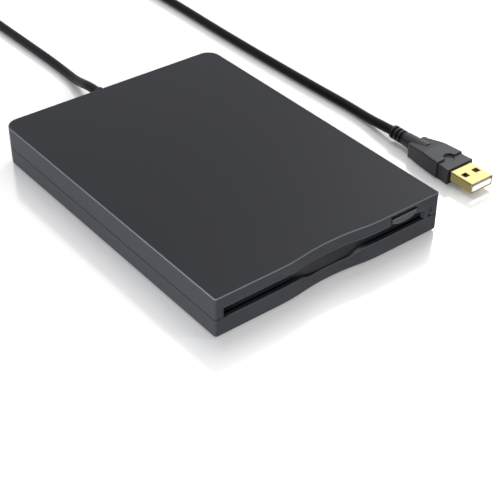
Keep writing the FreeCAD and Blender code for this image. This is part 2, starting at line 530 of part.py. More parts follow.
front_board_side = size("front_board_side", 7.5, "switch board from the case's sides")
switch_setback = size("switch_setback", 9.1, "detector switches from the front of the case")
switch_half = size("switch_half", 2.0, "half size of a detector switch")
switch_height = size("switch_height", 1.4, "height of a detector switch")
plunger_radius = size("plunger_radius", 0.8, "plunger of a detector switch")
plunger_rise = size("plunger_rise", 1.5, "plunger above its switch")
switch_lip = size("switch_lip", 0.3, "top wall of a detector switch")
plunger_flange = size("plunger_flange", 0.3, "flange of a plunger beyond its stem")
plunger_flange_gauge = size("plunger_flange_gauge", 0.15, "flange of a plunger")
plunger_flange_room = size("plunger_flange_room", 0.05, "room around the flange of a plunger")
front_notch_half = size("front_notch_half", 1.6, "front board beside the middle of the lamp's lens")
front_notch = size("front_notch", 4.6, "front board's step back behind the lens")
disk_switch_side = size("disk_switch_side", 15.7, "disk-in switch from the case's right side")
protect_switch_side = size("protect_switch_side", 10.3, "write-protect switch from the case's right side")
density_switch_side = size("density_switch_side", 11.5, "density switch from the case's left side")

# Lead and plug
cord_radius = size("cord_radius", 2.05, "USB lead")
gland_neck = size("gland_neck", 3.3, "gland neck in the rear wall")
gland_room = size("gland_room", 0.05, "room around the gland neck")
gland_flange = size("gland_flange", 4.4, "gland flanges")
gland_flange_gauge = size("gland_flange_gauge", 1.0, "gland flanges")
boot_length = size("boot_length", 11.0, "gland boot behind its flange")
boot_end = size("boot_end", 2.6, "gland boot at its end")
boot_step = size("boot_step", 0.3, "gland boot beyond the neck, at its flange")
boot_groove_first = size("boot_groove_first", 1.8, "first groove of the gland boot from its flange")
boot_groove_pitch = size("boot_groove_pitch", 2.2, "grooves of the gland boot")
boot_groove_width = size("boot_groove_width", 0.9, "grooves of the gland boot")
boot_groove_depth = size("boot_groove_depth", 0.15, "grooves of the gland boot below its thin end")
gland_inner_gauge = size("gland_inner_gauge", 1.5, "gland flange inside the rear wall")
plug_x = size("plug_x", 85.0, "middle of the plug")
plug_tip = size("plug_tip", -64.5, "mouth of the plug")
plug_height = size("plug_height", 8.0, "height of the plug body")
plug_width = size("plug_width", 14.5, "width of the plug body")
plug_waist = size("plug_waist", 9.8, "width of the plug body at its rear")
plug_bulge = size("plug_bulge", 0.35, "bulge of the plug body's sides")
plug_rear_round = size("plug_rear_round", 1.2, "plan radius of the plug body's rear corners")
plug_slope = size("plug_slope", 10.0, "length of the slope on top of the plug body's rear")
plug_slope_drop = size("plug_slope_drop", 1.5, "fall of that slope")
plug_lift = size("plug_lift", 0.3, "plug body above the surface")
plug_edge = size("plug_edge", 0.6, "rounding of the plug body's edges")
plug_neck = size("plug_neck", 5.0, "neck behind the plug body")
plug_neck_root = size("plug_neck_root", 7.0, "ridge that the neck forms on the plug body")
plug_neck_start = size("plug_neck_start", 3.65, "radius of the ridge at its front")
plug_neck_end = size("plug_neck_end", 3.1, "radius of the neck at its rear")
dimple_edge = size("dimple_edge", 2.6, "radius of the thumb mark in the plug body's step")
dimple_radius = size("dimple_radius", 2.1, "radius of the thumb mark in the collar")
dimple_depth = size("dimple_depth", 0.25, "depth of the thumb mark in the collar")
plug_body_front = size("plug_body_front", -46.2, "step in front of the plug body")
plug_body_rear = size("plug_body_rear", -27.0, "rear of the plug body")
collar_step = size("collar_step", 0.7, "step from plug body down to its collar")
collar_inset = size("collar_inset", 0.6, "collar narrower than the plug body at the step")
collar_flare = size("collar_flare", 0.45, "how far the collar widens to its front, each side")
collar_hollow = size("collar_hollow", 0.25, "hollow of the collar's sides")
shell_width = size("shell_width", 12.0, "USB plug shell")
shell_height = size("shell_height", 4.5, "USB plug shell")
shell_gauge = size("shell_gauge", 0.3, "sheet of the USB plug shell")
shell_round = size("shell_round", 0.6, "outer radius of the shell's long edges")
shell_end = size("shell_end", 0.4, "closed end of the shell inside the collar")
window_side = size("window_side", 3.0, "windows of the shell from its middle")
window_width = size("window_width", 2.8, "windows of the shell, across")
window_length = size("window_length", 2.6, "windows of the shell, along")
window_setback = size("window_setback", 5.1, "windows of the shell from its mouth")
shell_reach = size("shell_reach", 12.2, "shell in front of the collar")
shell_root = size("shell_root", 4.0, "shell inside the collar")
insert_gauge = size("insert_gauge", 2.4, "plastic tongue in the plug")
insert_setback = size("insert_setback", 0.4, "tongue from the mouth of the shell")
contact_width = size("contact_width", 1.0, "channels of the contacts")
contact_length = size("contact_length", 8.0, "channels of the contacts")
contact_setback = size("contact_setback", 1.0, "channels of the contacts from the front of the tongue")
contact_depth = size("contact_depth", 0.2, "channels of the contacts")
contact_outer = size("contact_outer", 3.5, "outer contacts from the middle")
contact_inner = size("contact_inner", 1.0, "inner contacts from the middle")
relief_length = size("relief_length", 8.0, "strain relief behind the neck")
relief_radius = size("relief_radius", 2.95, "rings of the strain relief")
relief_core = size("relief_core", 2.2, "strain relief between its rings")
relief_ring = size("relief_ring", 1.25, "thickness of a ring of the strain relief")
coil_inner = size("coil_inner", 17.4, "innermost turn of the coil")
coil_x = size("coil_x", 57.5, "middle of the coil")
coil_y = size("coil_y", 240.0, "middle of the coil")

doc.recompute()

# Places that several pieces share
zero = Size(0)
half_width = case_width / 2
front = -case_depth / 2
back = case_depth / 2
underside = foot_proud
roof = underside + case_height
parting = underside + parting_height
slot_top = parting + slot_height
case_floor = underside + floor_gauge
roof_inside = roof - roof_gauge
inner_half = half_width - wall
inner_back = back - wall
front_inside = front + front_wall_upper
hinge_y = front + hinge_back
hinge_z = slot_top + hinge_rise
slot_left = half_width - slot_left_room
slot_right = half_width - slot_right_room
door_left = -slot_left + lug_reach + door_room
door_right = slot_right - door_room
door_spring_left = door_left + door_spring_side
button_middle = half_width - button_inset
lens_middle = half_width - lens_inset
boss_x = half_width - boss_inset
boss_y = back - boss_inset
pan_top = case_floor + gauge
chassis_top = case_floor + chassis_height
chassis_half = inner_half - chassis_room
chassis_front = front + chassis_setback
chassis_rear = back - chassis_rear_room
wall_start = front + wall_setback
wall_end = back - wall_setback
slider_low = chassis_top + slider_room
slider_high = slider_low + slider_gauge
slider_half = chassis_half - gauge - slider_side_room
slider_front = front + slider_setback
slider_rear = back - slider_rear_room
lip_top = parting - lip_below_slot
lip_low = lip_top - cradle_gauge
bay_top = lip_top + bay_height
cradle_top = bay_top + cradle_gauge
cradle_outer = slider_half - slider_gauge - cradle_side_room
cradle_inner = cradle_outer - cradle_gauge
cradle_front = front + cradle_setback
guide_z = lip_top + guide_rise
spring_across = slider_half - spring_inset
lever_pivot_x = lever_side - half_width
lever_pivot_y = cradle_rear + lever_back
board_top = pan_top + motor_board_gauge
head_y = spindle_y + outer_track
rod_rear = back - rod_rear_room
carriage_rear = rod_rear - clamp_length - carriage_room
post_front = carriage_rear - post_length
head_hinge_y = carriage_rear - head_hinge_inset
arm_front = head_y - arm_reach
bush_front = head_y + bush_back
needle_y = carriage_rear - needle_inset
bracket_y = back - bracket_room
bracket_front_y = needle_y - carriage_travel - bearing_room
main_board_left = main_board_side - half_width
main_board_right = rod_x - main_board_gap
main_board_front = cradle_rear + main_board_back
main_board_rear = back - main_board_room
usb_board_left = usb_board_side - half_width
usb_board_rear = back - usb_board_room
usb_board_front = usb_board_rear - usb_board_depth
front_board_front = front + front_board_setback
front_board_rear = front_board_front + front_board_depth
front_board_half = half_width - front_board_side
switch_y = front + switch_setback
disk_switch_x = half_width - disk_switch_side
protect_switch_x = half_width - protect_switch_side
density_switch_x = density_switch_side - half_width
plug_z = plug_height / 2
gland_z = parting
shield_low = case_floor + shield_rise


# ---------------------------------------------------------------- tools

def new_body(label):
    body = doc.addObject("PartDesign::Body", label)
    return body


PLANES = {"XY": ("XY_Plane", 1), "XZ": ("XZ_Plane", -1), "YZ": ("YZ_Plane", 1)}


def new_sketch(body, plane, level):
    """A sketch in a plane of the body's own origin, moved to a level along the plane's axis."""
    role, sign = PLANES[plane]
    sketch = body.newObject("Sketcher::SketchObject", "Sketch")
    origin = [feature for feature in body.Origin.OriginFeatures if feature.Role == role][0]
    sketch.AttachmentSupport = [(origin, "")]
    sketch.MapMode = "FlatFace"
    sketch.setExpression("AttachmentOffset.Base.z", (sign * as_size(level)).text)
    return sketch


def hold(sketch, kind, geometry, position, amount):
    """Tie one coordinate of a sketch point to its size."""
    index = sketch.addConstraint(Sketcher.Constraint(kind, -1, 1, geometry, position, amount.value))
    if "Sizes" in amount.text:
        sketch.setExpression("Constraints[{}]".format(index), amount.text)


def draw_circle(sketch, x, y, radius):
    x, y, radius = as_size(x), as_size(y), as_size(radius)
    circle = Part.Circle(Vector(x.value, y.value, 0), Vector(0, 0, 1), radius.value)
    index = sketch.addGeometry(circle)
    hold(sketch, "DistanceX", index, 3, x)
    hold(sketch, "DistanceY", index, 3, y)
    constraint = sketch.addConstraint(Sketcher.Constraint("Radius", index, radius.value))
    sketch.setExpression("Constraints[{}]".format(constraint), radius.text)


def arc_between(start, end, radius):
    """The short arc from start to end: radius > 0 turns left, radius < 0 turns right."""
    chord = end - start
    middle = (start + end) * 0.5
    rise = math.sqrt(max(radius ** 2 - (chord.Length / 2) ** 2, 0.0))
    left = Vector(-chord.y, chord.x, 0).normalize()
    centre = middle + left * math.copysign(rise, radius)
    first, last = (start, end) if radius > 0 else (end, start)
    low = math.atan2(first.y - centre.y, first.x - centre.x)
    high = math.atan2(last.y - centre.y, last.x - centre.x)
    return Part.ArcOfCircle(Part.Circle(centre, Vector(0, 0, 1), abs(radius)), low, high)


def draw_outline(sketch, corners):
    """A closed outline.  A corner (x, y) is reached by a line and (x, y, radius) by an arc."""
    corners = [tuple(as_size(value) for value in corner) for corner in corners]
    points = [Vector(corner[0].value, corner[1].value, 0) for corner in corners]
    ends = []
    for number, corner in enumerate(corners):
        start, end = points[number - 1], points[number]
        if len(corner) == 2:
            index = sketch.addGeometry(Part.LineSegment(start, end))
            ends.append((index, 1, 2))
            continue
        index = sketch.addGeometry(arc_between(start, end, corner[2].value))
        turn = 1 if corner[2].value > 0 else -1
        ends.append((index, 1, 2) if turn > 0 else (index, 2, 1))
        constraint = sketch.addConstraint(Sketcher.Constraint("Radius", index, abs(corner[2].value)))
        sketch.setExpression("Constraints[{}]".format(constraint), (turn * corner[2]).text)
    for number, corner in enumerate(corners):
        index, start, end = ends[number]
        following, first, last = ends[(number + 1) % len(ends)]
        sketch.addConstraint(Sketcher.Constraint("Coincident", index, end, following, first))
        hold(sketch, "DistanceX", index, end, corner[0])
        hold(sketch, "DistanceY", index, end, corner[1])


def extrude(body, plane, low, high, outlines=(), circles=(), cut=False):
    """Pad or pocket outlines and circles between two levels along the plane's axis."""
    low, high = as_size(low), as_size(high)
    from_low = (PLANES[plane][1] > 0) != cut
    sketch = new_sketch(body, plane, low if from_low else high)
    for outline in outlines:
        draw_outline(sketch, outline)
    for x, y, radius in circles:
        draw_circle(sketch, x, y, radius)
    feature = body.newObject("PartDesign::Pocket" if cut else "PartDesign::Pad", "Extrusion")
    feature.Profile = sketch
    feature.setExpression("Length", (high - low).text)
    sketch.Visibility = False
    return feature


def round_edges(body, radius, wanted):
    """Fillet the edges of the body so far that pass the test."""
    doc.recompute()
    base = body.Tip
    names = ["Edge{}".format(n + 1) for n, edge in enumerate(base.Shape.Edges) if wanted(edge)]
    fillet = body.newObject("PartDesign::Fillet", "Rounding")
    fillet.Base = (base, names)
    fillet.setExpression("Radius", radius.text)


def edge_at_level(axis, level):
    """A test for edges that lie in one level along an axis."""
    def test(edge):
        box = edge.BoundBox
        low, high = {"Y": (box.YMin, box.YMax), "Z": (box.ZMin, box.ZMax)}[axis]
        return abs(low - level.value) < 1e-4 and abs(high - level.value) < 1e-4
    return test


def bow(run, rise, height):
    """Radius of the arc that stands out by a height from a chord with this run and rise."""
    return ((run * run + rise * rise) / 4 + height * height) / (2 * height)


def rectangle(x_low, x_high, y_low, y_high):
    return [(x_low, y_low), (x_high, y_low), (x_high, y_high), (x_low, y_high)]


def place(solid, x, y, z):
    solid.setExpression("Placement.Base.x", as_size(x).text)
    solid.setExpression("Placement.Base.y", as_size(y).text)
    solid.setExpression("Placement.Base.z", as_size(z).text)


def block(x, y, z):
    """A box between a low and a high value along each axis."""
    solid = doc.addObject("Part::Box", "Block")
    solid.setExpression("Length", (as_size(x[1]) - x[0]).text)
    solid.setExpression("Width", (as_size(y[1]) - y[0]).text)
    solid.setExpression("Height", (as_size(z[1]) - z[0]).text)
    place(solid, x[0], y[0], z[0])
    return solid


TURNS = {"X": Rotation(Vector(0, 1, 0), 90), "Y": Rotation(Vector(1, 0, 0), -90), "Z": Rotation()}


def axis_place(solid, axis, first, second, level):
    """Stand a round solid on a level of its axis; first and second are its other coordinates."""
    solid.Placement = Placement(Vector(), TURNS[axis])
    if axis == "X":
        place(solid, level, first, second)
    elif axis == "Y":
        place(solid, first, level, second)
    else:
        place(solid, first, second, level)


def rod(axis, first, second, radius, low, high):
    solid = doc.addObject("Part::Cylinder", "Rod")
    solid.setExpression("Radius", as_size(radius).text)
    solid.setExpression("Height", (as_size(high) - low).text)
    axis_place(solid, axis, first, second, low)
    return solid


def taper(axis, first, second, radius_low, radius_high, low, high):
    solid = doc.addObject("Part::Cone", "Taper")
    solid.setExpression("Radius1", as_size(radius_low).text)
    solid.setExpression("Radius2", as_size(radius_high).text)
    solid.setExpression("Height", (as_size(high) - low).text)
    axis_place(solid, axis, first, second, low)
    return solid


def join(*solids):
    union = doc.addObject("Part::MultiFuse", "Union")
    union.Shapes = list(solids)
    return union


def cut(base, *tools):
    result = doc.addObject("Part::Cut", "Cut")
    result.Base = base
    result.Tool = tools[0] if len(tools) == 1 else join(*tools)
    return result


def group(*solids):
    bundle = doc.addObject("Part::Compound", "Group")
    bundle.Links = list(solids)
    return bundle


def made(shape):
    """A piece whose shape no feature gives, such as a wire spring."""
    feature = doc.addObject("Part::Feature", "Shape")
    feature.Shape = shape
    return feature


def keep(node, piece):
    """Name the finished sub-part and list it for writing."""
    piece.Label = node
    nodes.append(piece)
    return piece


def both_sides(low, high):
    """The same stretch of X on the left and on the right."""
    low, high = as_size(low), as_size(high)
    return [(-high, -low), (low, high)]


def pipe(points, radius):
    """A wire along one smooth curve through points."""
    curve = Part.BSplineCurve()
    curve.interpolate([Vector(*point) for point in points])
    spine = Part.Wire([curve.toShape()])
    start = curve.value(curve.FirstParameter)
    heading = curve.tangent(curve.FirstParameter)[0]
    section = Part.Wire([Part.Edge(Part.Circle(start, heading, radius))])
    return spine.makePipeShell([section], True, False)


# ---------------------------------------------------------------- case

def scooped(side_inset, front_inset, rear_inset):
    """Plan of the case: round rear corners and a shallow scoop in the middle of the front."""
    half = half_width - side_inset
    near = front + front_inset
    far = back - rear_inset
    sharp = front_corner - side_inset if side_inset.value < front_corner.value else sharp_corner
    corner = rear_corner - side_inset
    bend = 2 * scoop_half * scoop_depth / (scoop_half * scoop_half + scoop_depth * scoop_depth)
    turn = scoop_turn + front_inset * bend
    turn_y = near + scoop_depth * (1 - turn / scoop_half)
    outer_bend = (scoop_half - turn) / bend
    inner_bend = turn / bend
    return [(-half + sharp, near, sharp), (-scoop_half, near), (-turn, turn_y, outer_bend),
            (turn, turn_y, -inner_bend), (scoop_half, near, outer_bend), (half - sharp, near),
            (half, near + sharp, sharp), (half, far - corner), (half - corner, far, corner),
            (-half + corner, far), (-half, far - corner, corner), (-half, near + sharp)]


def rim(outer_inset, inner_inset, start):
    """A band inside the side and rear walls, open at the front."""
    outer, inner = half_width - outer_inset, half_width - inner_inset
    outer_far, inner_far = back - outer_inset, back - inner_inset
    outer_corner, inner_corner = rear_corner - outer_inset, rear_corner - inner_inset
    return [(outer, start), (outer, outer_far - outer_corner),
            (outer - outer_corner, outer_far, outer_corner), (-outer + outer_corner, outer_far),
            (-outer, outer_far - outer_corner, outer_corner), (-outer, start), (-inner, start),
            (-inner, inner_far - inner_corner), (-inner + inner_corner, inner_far, -inner_corner),
            (inner - inner_corner, inner_far), (inner, inner_far - inner_corner, -inner_corner),
            (inner, start)]


def notch_edge(lift):
    """The lower edge of the finger notch from left to right, raised by a lift."""
    run = notch_half - notch_flat
    bend = (run * run + notch_depth * notch_depth) / (4 * notch_depth)
    middle = (notch_half + notch_flat) / 2
    high, low = parting + lift, parting - notch_depth + lift
    half_way = parting - notch_depth / 2 + lift
    return [(-notch_half, high), (-middle, half_way, -bend), (-notch_flat, low, bend),
            (notch_flat, low), (middle, half_way, bend), (notch_half, high, -bend)]


def four(side_room, front_room, rear_room):
    """Places near the case's corners, at distances from its sides, front and back."""
    return [(side * (half_width - side_room), y) for side in (-1, 1)
            for y in (front + front_room, back - rear_room)]


def lower_cover():
    body = new_body("bottom_cover")
    extrude(body, "XY", underside, parting, [scooped(zero, zero, zero)])
    round_edges(body, edge_round, edge_at_level("Z", underside))
    extrude(body, "XY", case_floor, parting, [scooped(wall, front_wall_lower, wall)], cut=True)
    extrude(body, "XY", parting, parting + lip_height, [rim(wall - lip_gauge, wall, -boss_y)])
    bosses = [(side * boss_x, boss_y, boss_radius) for side in (-1, 1)]
    extrude(body, "XY", case_floor, parting, circles=bosses)
    posts = [(x, y, post_radius) for x, y in usb_screw_holes()]
    extrude(body, "XY", case_floor, case_floor + usb_board_lift, circles=posts)
    pilots = [(x, y, small_screw_radius + thread_room) for x, y in usb_screw_holes()]
    extrude(body, "XY", case_floor, case_floor + usb_board_lift, circles=pilots, cut=True)
    top = parting + overrun
    notch = [(-notch_half, top)] + notch_edge(zero) + [(notch_half, top)]
    extrude(body, "XZ", front - overrun, front + scoop_depth + front_wall_lower + overrun, [notch], cut=True)
    recesses = [(x, y, foot_radius + foot_room) for x, y in four(foot_side, foot_front, foot_rear)]
    extrude(body, "XY", underside, underside + foot_recess, circles=recesses, cut=True)
    places = four(drive_screw_side, drive_screw_front, drive_screw_rear)
    sinks = [(x, y, screw_head_radius + screw_room) for x, y in places]
    extrude(body, "XY", underside, underside + drive_screw_sink, circles=sinks, cut=True)
    holes = [(x, y, drive_screw_radius + screw_room) for x, y in places]
    extrude(body, "XY", underside, case_floor, circles=holes, cut=True)
    sinks = [(side * boss_x, boss_y, screw_head_radius + screw_room) for side in (-1, 1)]
    extrude(body, "XY", underside, underside + screw_sink, circles=sinks, cut=True)
    holes = [(side * boss_x, boss_y, screw_radius + screw_room) for side in (-1, 1)]
    extrude(body, "XY", underside, parting, circles=holes, cut=True)
    extrude(body, "XZ", inner_back - overrun, back + overrun,
            circles=[(0, gland_z, gland_neck + gland_room)], cut=True)
    keep("bottom_cover", body)


def upper_cover():
    body = new_body("top_cover")
    extrude(body, "XY", parting, roof, [scooped(zero, zero, zero)])
    round_edges(body, edge_round, edge_at_level("Z", roof))
    corner = rear_corner - wall
    cavity = [(-inner_half, front_inside), (inner_half, front_inside), (inner_half, inner_back - corner),
              (inner_half - corner, inner_back, corner), (-inner_half + corner, inner_back),
              (-inner_half, inner_back - corner, corner)]
    extrude(body, "XY", parting, roof_inside, [cavity], cut=True)
    rebate = rim(wall - lip_gauge - lip_room, wall + overrun, -boss_y - lip_room)
    extrude(body, "XY", parting, parting + lip_height + lip_room, [rebate], cut=True)
    around = rectangle(-half_width - overrun, half_width + overrun, front - overrun, back + overrun)
    kept = scooped(gap_depth, gap_depth, gap_depth)
    extrude(body, "XY", parting, parting + gap_height, [around, kept], cut=True)
    bosses = [(side * boss_x, boss_y, boss_radius - boss_step) for side in (-1, 1)]
    extrude(body, "XY", parting, roof_inside, circles=bosses)
    pilots = [(side * boss_x, boss_y, screw_radius + thread_room) for side in (-1, 1)]
    extrude(body, "XY", parting, roof_inside - pilot_cover, circles=pilots, cut=True)
    slot = rectangle(-slot_left, slot_right, parting, slot_top)
    extrude(body, "XZ", front - overrun, front_inside + overrun, [slot], cut=True)
    for low, high in ((-inner_half, door_left - door_room), (slot_right, slot_right + lug_width)):
        lug = rectangle(low, high, slot_top - lug_drop, roof_inside)
        extrude(body, "XZ", front_inside, front_inside + lug_depth, [lug])
        bore = [(hinge_y, hinge_z, hinge_radius + hinge_room)]
        extrude(body, "YZ", low, high, circles=bore, cut=True)
    pocket = rectangle(door_spring_left - door_spring_room,
                       door_spring_left + door_spring_length + door_spring_room, slot_top, roof_inside)
    extrude(body, "XZ", front_inside - door_spring_depth, front_inside, [pocket], cut=True)
    window = tablet(lens_middle, lens_width / 2 + lens_room, lens_low - lens_room,
                    lens_low + lens_height + lens_room)
    extrude(body, "XZ", front - overrun, front_inside + overrun, [window], cut=True)
    recess_back = front + recess_depth
    recess = [(front - overrun, slot_top), (recess_back, slot_top), (recess_back, button_top + stem_room),
              (front, roof - recess_top_drop), (front - overrun, roof - recess_top_drop)]
    extrude(body, "YZ", button_middle - button_width / 2 - recess_left,
            button_middle + button_width / 2 + recess_right, [recess], cut=True)
    stem = rectangle(button_middle - stem_width / 2 - stem_room, button_middle + stem_width / 2 + stem_room,
                     button_top - stem_gauge - stem_room, button_top + stem_room)
    extrude(body, "XZ", recess_back - overrun, front_inside + overrun, [stem], cut=True)
    extrude(body, "XZ", inner_back - overrun, back + overrun,
            circles=[(0, gland_z, gland_neck + gland_room)], cut=True)
    keep("top_cover", body)


def tablet(middle, half, low, high):
    """An upright outline with a square top and a round bottom."""
    return [(middle, low, half), (middle + half, low + half, half), (middle + half, high),
            (middle - half, high), (middle - half, low + half)]


def covers_fixings():
    feet = []
    for x, y in four(foot_side, foot_front, foot_rear):
        tread = taper("Z", x, y, foot_radius - foot_chamfer, foot_radius, 0, foot_chamfer)
        feet.append(join(tread, rod("Z", x, y, foot_radius, foot_chamfer, underside + foot_recess)))
    keep("feet", group(*feet))
    seat = underside + screw_sink
    screws = []
    for side in (-1, 1):
        screws.append(cross_screw(side * boss_x, boss_y, seat, screw_head_radius, screw_head_gauge,
                                  screw_radius, screw_length))
    keep("case_screws", group(*screws))
    seat = underside + drive_screw_sink
    screws = []
    for x, y in four(drive_screw_side, drive_screw_front, drive_screw_rear):
        screws.append(cross_screw(x, y, seat, screw_head_radius, drive_screw_gauge,
                                  drive_screw_radius, pan_top - seat + thread_proud))
    keep("chassis_screws", group(*screws))


def cross_screw(x, y, seat, head_radius, head_gauge, shank_radius, length):
    """A screw that is driven from below, with a cross recess in its head."""
    screw = join(rod("Z", x, y, head_radius, seat - head_gauge, seat),
                 rod("Z", x, y, shank_radius, seat, seat + length))
    reach, half = head_radius * cross_reach, head_radius * cross_half
    level = (seat - head_gauge - overrun, seat - head_gauge + head_gauge * cross_depth)
    return cut(screw, block((x - reach, x + reach), (y - half, y + half), level),
               block((x - half, x + half), (y - reach, y + reach), level))


def driven_screw(x, y, seat, length):
    """A small screw that is driven from above."""
    screw = join(rod("Z", x, y, small_head_radius, seat, seat + small_head_gauge),
                 rod("Z", x, y, small_screw_radius, seat - length, seat))
    reach, half = small_head_radius * cross_reach, small_head_radius * cross_half
    level = (seat + small_head_gauge * (1 - cross_depth), seat + small_head_gauge + overrun)
    return cut(screw, block((x - reach, x + reach), (y - half, y + half), level),
               block((x - half, x + half), (y - reach, y + reach), level))


# ---------------------------------------------------------------- front

def slot_door():
    body = new_body("slot_door")
    top = slot_top - door_top_room
    low = parting + door_lift
    face = front + door_setback
    plate = [(door_right, top), (door_left, top), (door_left, low)] + notch_edge(door_lift)
    extrude(body, "XZ", face, face + door_gauge, [plate + [(door_right, low)]])
    web = rectangle(door_left, door_right, top - web_root, hinge_z)
    web_front = front_inside + web_room
    extrude(body, "XZ", web_front, web_front + web_gauge, [web])
    notch = rectangle(door_spring_left - door_spring_notch,
                      door_spring_left + door_spring_length + door_spring_notch,
                      top - door_spring_notch, hinge_z + overrun)
    extrude(body, "XZ", face - overrun, web_front + web_gauge + overrun, [notch], cut=True)
    extrude(body, "YZ", door_left - hinge_pin_length, door_right + hinge_pin_length,
            circles=[(hinge_y, hinge_z, hinge_radius)])
    keep("slot_door", body)


# Legs of the door spring: heights of the straight one, distance behind the hinge and height of the other
DOOR_SPRING_START = (2.4, 1.2)
DOOR_SPRING_END = ((0.8, -2.4), (0.2, -3.6))


def door_spring():
    """A coil round the door's hinge with one leg in the front wall and one behind the door."""
    start, length, turns = door_spring_left.value, door_spring_length.value, 4
    y, z, mean = hinge_y.value, hinge_z.value, door_spring_radius.value
    points = [(start, y - mean, z + rise) for rise in DOOR_SPRING_START]
    for step in range(12 * turns - 1):
        angle = math.pi - 2 * math.pi * step / 12
        x = start + length * step / (12 * turns)
        points.append((x, y + mean * math.cos(angle), z + mean * math.sin(angle)))
    end = start + length
    points.append((end, y + mean, z - DOOR_SPRING_START[-1]))
    points += [(end, y + along, z + rise) for along, rise in DOOR_SPRING_END]
    keep("door_spring", made(pipe(points, door_spring_wire.value)))


def eject_button():
    body = new_body("eject_button")
    low, high = button_middle - button_width / 2, button_middle + button_width / 2
    side = button_top - button_side_height
    belly = (button_width * button_width / 4 + button_belly * button_belly) / (2 * button_belly)
    face = [(high, button_top), (low, button_top), (low, side), (high, side, belly)]
    extrude(body, "XZ", front, front + button_gauge, [face])
    round_edges(body, button_edge, edge_at_level("Y", front))
    stem_low, stem_high = button_middle - stem_width / 2, button_middle + stem_width / 2
    stem = rectangle(stem_low, stem_high, button_top - stem_gauge, button_top)
    extrude(body, "XZ", front + button_gauge, socket_front + socket_inset, [stem])
    socket_low = slider_low - socket_drop
    socket = rectangle(stem_low + socket_inset, stem_high - socket_inset, socket_low,
                       socket_low + socket_gauge)
    extrude(body, "XZ", socket_front, slider_front, [socket])
    pocket = rectangle(stem_low + socket_wall, stem_high - socket_wall, slider_low, slider_high)
    extrude(body, "XZ", slider_front - slider_tab, slider_front, [pocket], cut=True)
    keep("eject_button", body)


def lamp():
    body = new_body("led_lens")
    top = lens_low + lens_height
    head = tablet(lens_middle, lens_width / 2, lens_low, top)
    extrude(body, "XZ", front + lens_setback, front_inside, [head])
    rim_half = lens_width / 2 + lens_room + lens_rim
    flange = rectangle(lens_middle - rim_half, lens_middle + rim_half, lens_low - lens_room,
                       lens_low + lens_rim_rise)
    extrude(body, "XZ", front_inside, front_inside + lens_rim_gauge, [flange])
    light_pipe = rectangle(lens_middle - light_pipe_half, lens_middle + light_pipe_half, lens_low,
                           lens_low + light_pipe_rise)
    extrude(body, "XZ", front_inside + lens_rim_gauge, lamp_front - lamp_gap, [light_pipe])
    keep("led_lens", body)
    low = lens_low - lamp_drop
    parts = [block((lens_middle - lamp_half, lens_middle + lamp_half),
                   (lamp_front, lamp_front + lamp_length), (low, low + lamp_height))]
    leg_y = lamp_front + (lamp_length - lamp_leg) / 2
    for side in (-1, 1):
        leg_x = lens_middle + side * lamp_leg_pitch / 2
        parts.append(block((leg_x - lamp_leg / 2, leg_x + lamp_leg / 2), (leg_y, leg_y + lamp_leg),
                           (front_board_top, low)))
    keep("led", join(*parts))


# ---------------------------------------------------------------- chassis

def chassis():
    body = new_body("chassis")
    tongue = front_board_half
    shelf = [(-tongue, front_board_front), (tongue, front_board_front), (tongue, chassis_front),
             (chassis_half, chassis_front), (chassis_half, chassis_rear), (-chassis_half, chassis_rear),
             (-chassis_half, chassis_front), (-tongue, chassis_front)]
    extrude(body, "XY", case_floor, pan_top, [shelf])
    sides = [rectangle(low, high, wall_start, wall_end)
             for low, high in both_sides(chassis_half - gauge, chassis_half)]
    extrude(body, "XY", pan_top, chassis_top, sides)
    slots = [rectangle(y - guide_radius - guide_room, y + guide_radius + guide_room,
                       guide_z - cradle_drop - guide_radius - guide_room, chassis_top + overrun)
             for y in (guide_front, guide_rear)]
    extrude(body, "YZ", -half_width, half_width, slots, cut=True)
    for y in (front + ledge_setback, ledge_middle, back - ledge_rear_room):
        for low, high in both_sides(chassis_half - gauge - ledge_width, chassis_half - gauge):
            ledge = rectangle(low, high, y, y + ledge_length)
            extrude(body, "XY", chassis_top - ledge_gauge, chassis_top, [ledge])
    tab_low = spring_across - spring_tab_width / 2 + spring_tab_room
    for low, high in both_sides(tab_low, chassis_half - gauge):
        tab = rectangle(low, high, spring_z - spring_tab_half, spring_z + spring_tab_half)
        extrude(body, "XZ", spring_front, spring_front + ledge_gauge, [tab])
    rear = rectangle(-chassis_half + rear_flange_inset, chassis_half - rear_flange_inset,
                     pan_top, case_floor + rear_flange_rise)
    extrude(body, "XZ", chassis_rear - gauge, chassis_rear, [rear])
    bosses = [(x, y, post_radius) for x, y in board_holes()]
    extrude(body, "XY", pan_top, pan_top + board_lift, circles=bosses)
    threads = [(x, y, small_screw_radius + thread_room) for x, y in board_holes()]
    extrude(body, "XY", case_floor, pan_top + board_lift, circles=threads, cut=True)
    threads = [(x, y, small_screw_radius + thread_room) for x, y in mechanism_holes()]
    extrude(body, "XY", case_floor, pan_top, circles=threads, cut=True)
    threads = [(x, y, drive_screw_radius + thread_room)
               for x, y in four(drive_screw_side, drive_screw_front, drive_screw_rear)]
    extrude(body, "XY", case_floor, pan_top, circles=threads, cut=True)
    keep("chassis", body)


def board_holes():
    return [(x, y) for x in (main_board_left + hole_inset, main_board_right - hole_inset)
            for y in (main_board_front + hole_inset, main_board_rear - hole_inset)]


def mechanism_holes():
    """Screws of the spindle board, the two screw brackets and the two rod clamps."""
    near = spindle_y - motor_board_front + hole_inset
    far = spindle_y + motor_board_rear - hole_inset
    side = motor_board_half - hole_inset
    return [(-side, near), (side, near), (-side, far), (side, far),
            (screw_x + bracket_hole_side, bracket_y - bracket_hole_front),
            (screw_x + bearing_hole_side, bracket_front_y + bearing_hole_back),
            (rod_x - clamp_hole_left, rod_front + clamp_length / 2),
            (rod_x + clamp_hole_right, rod_rear - clamp_length / 2)]


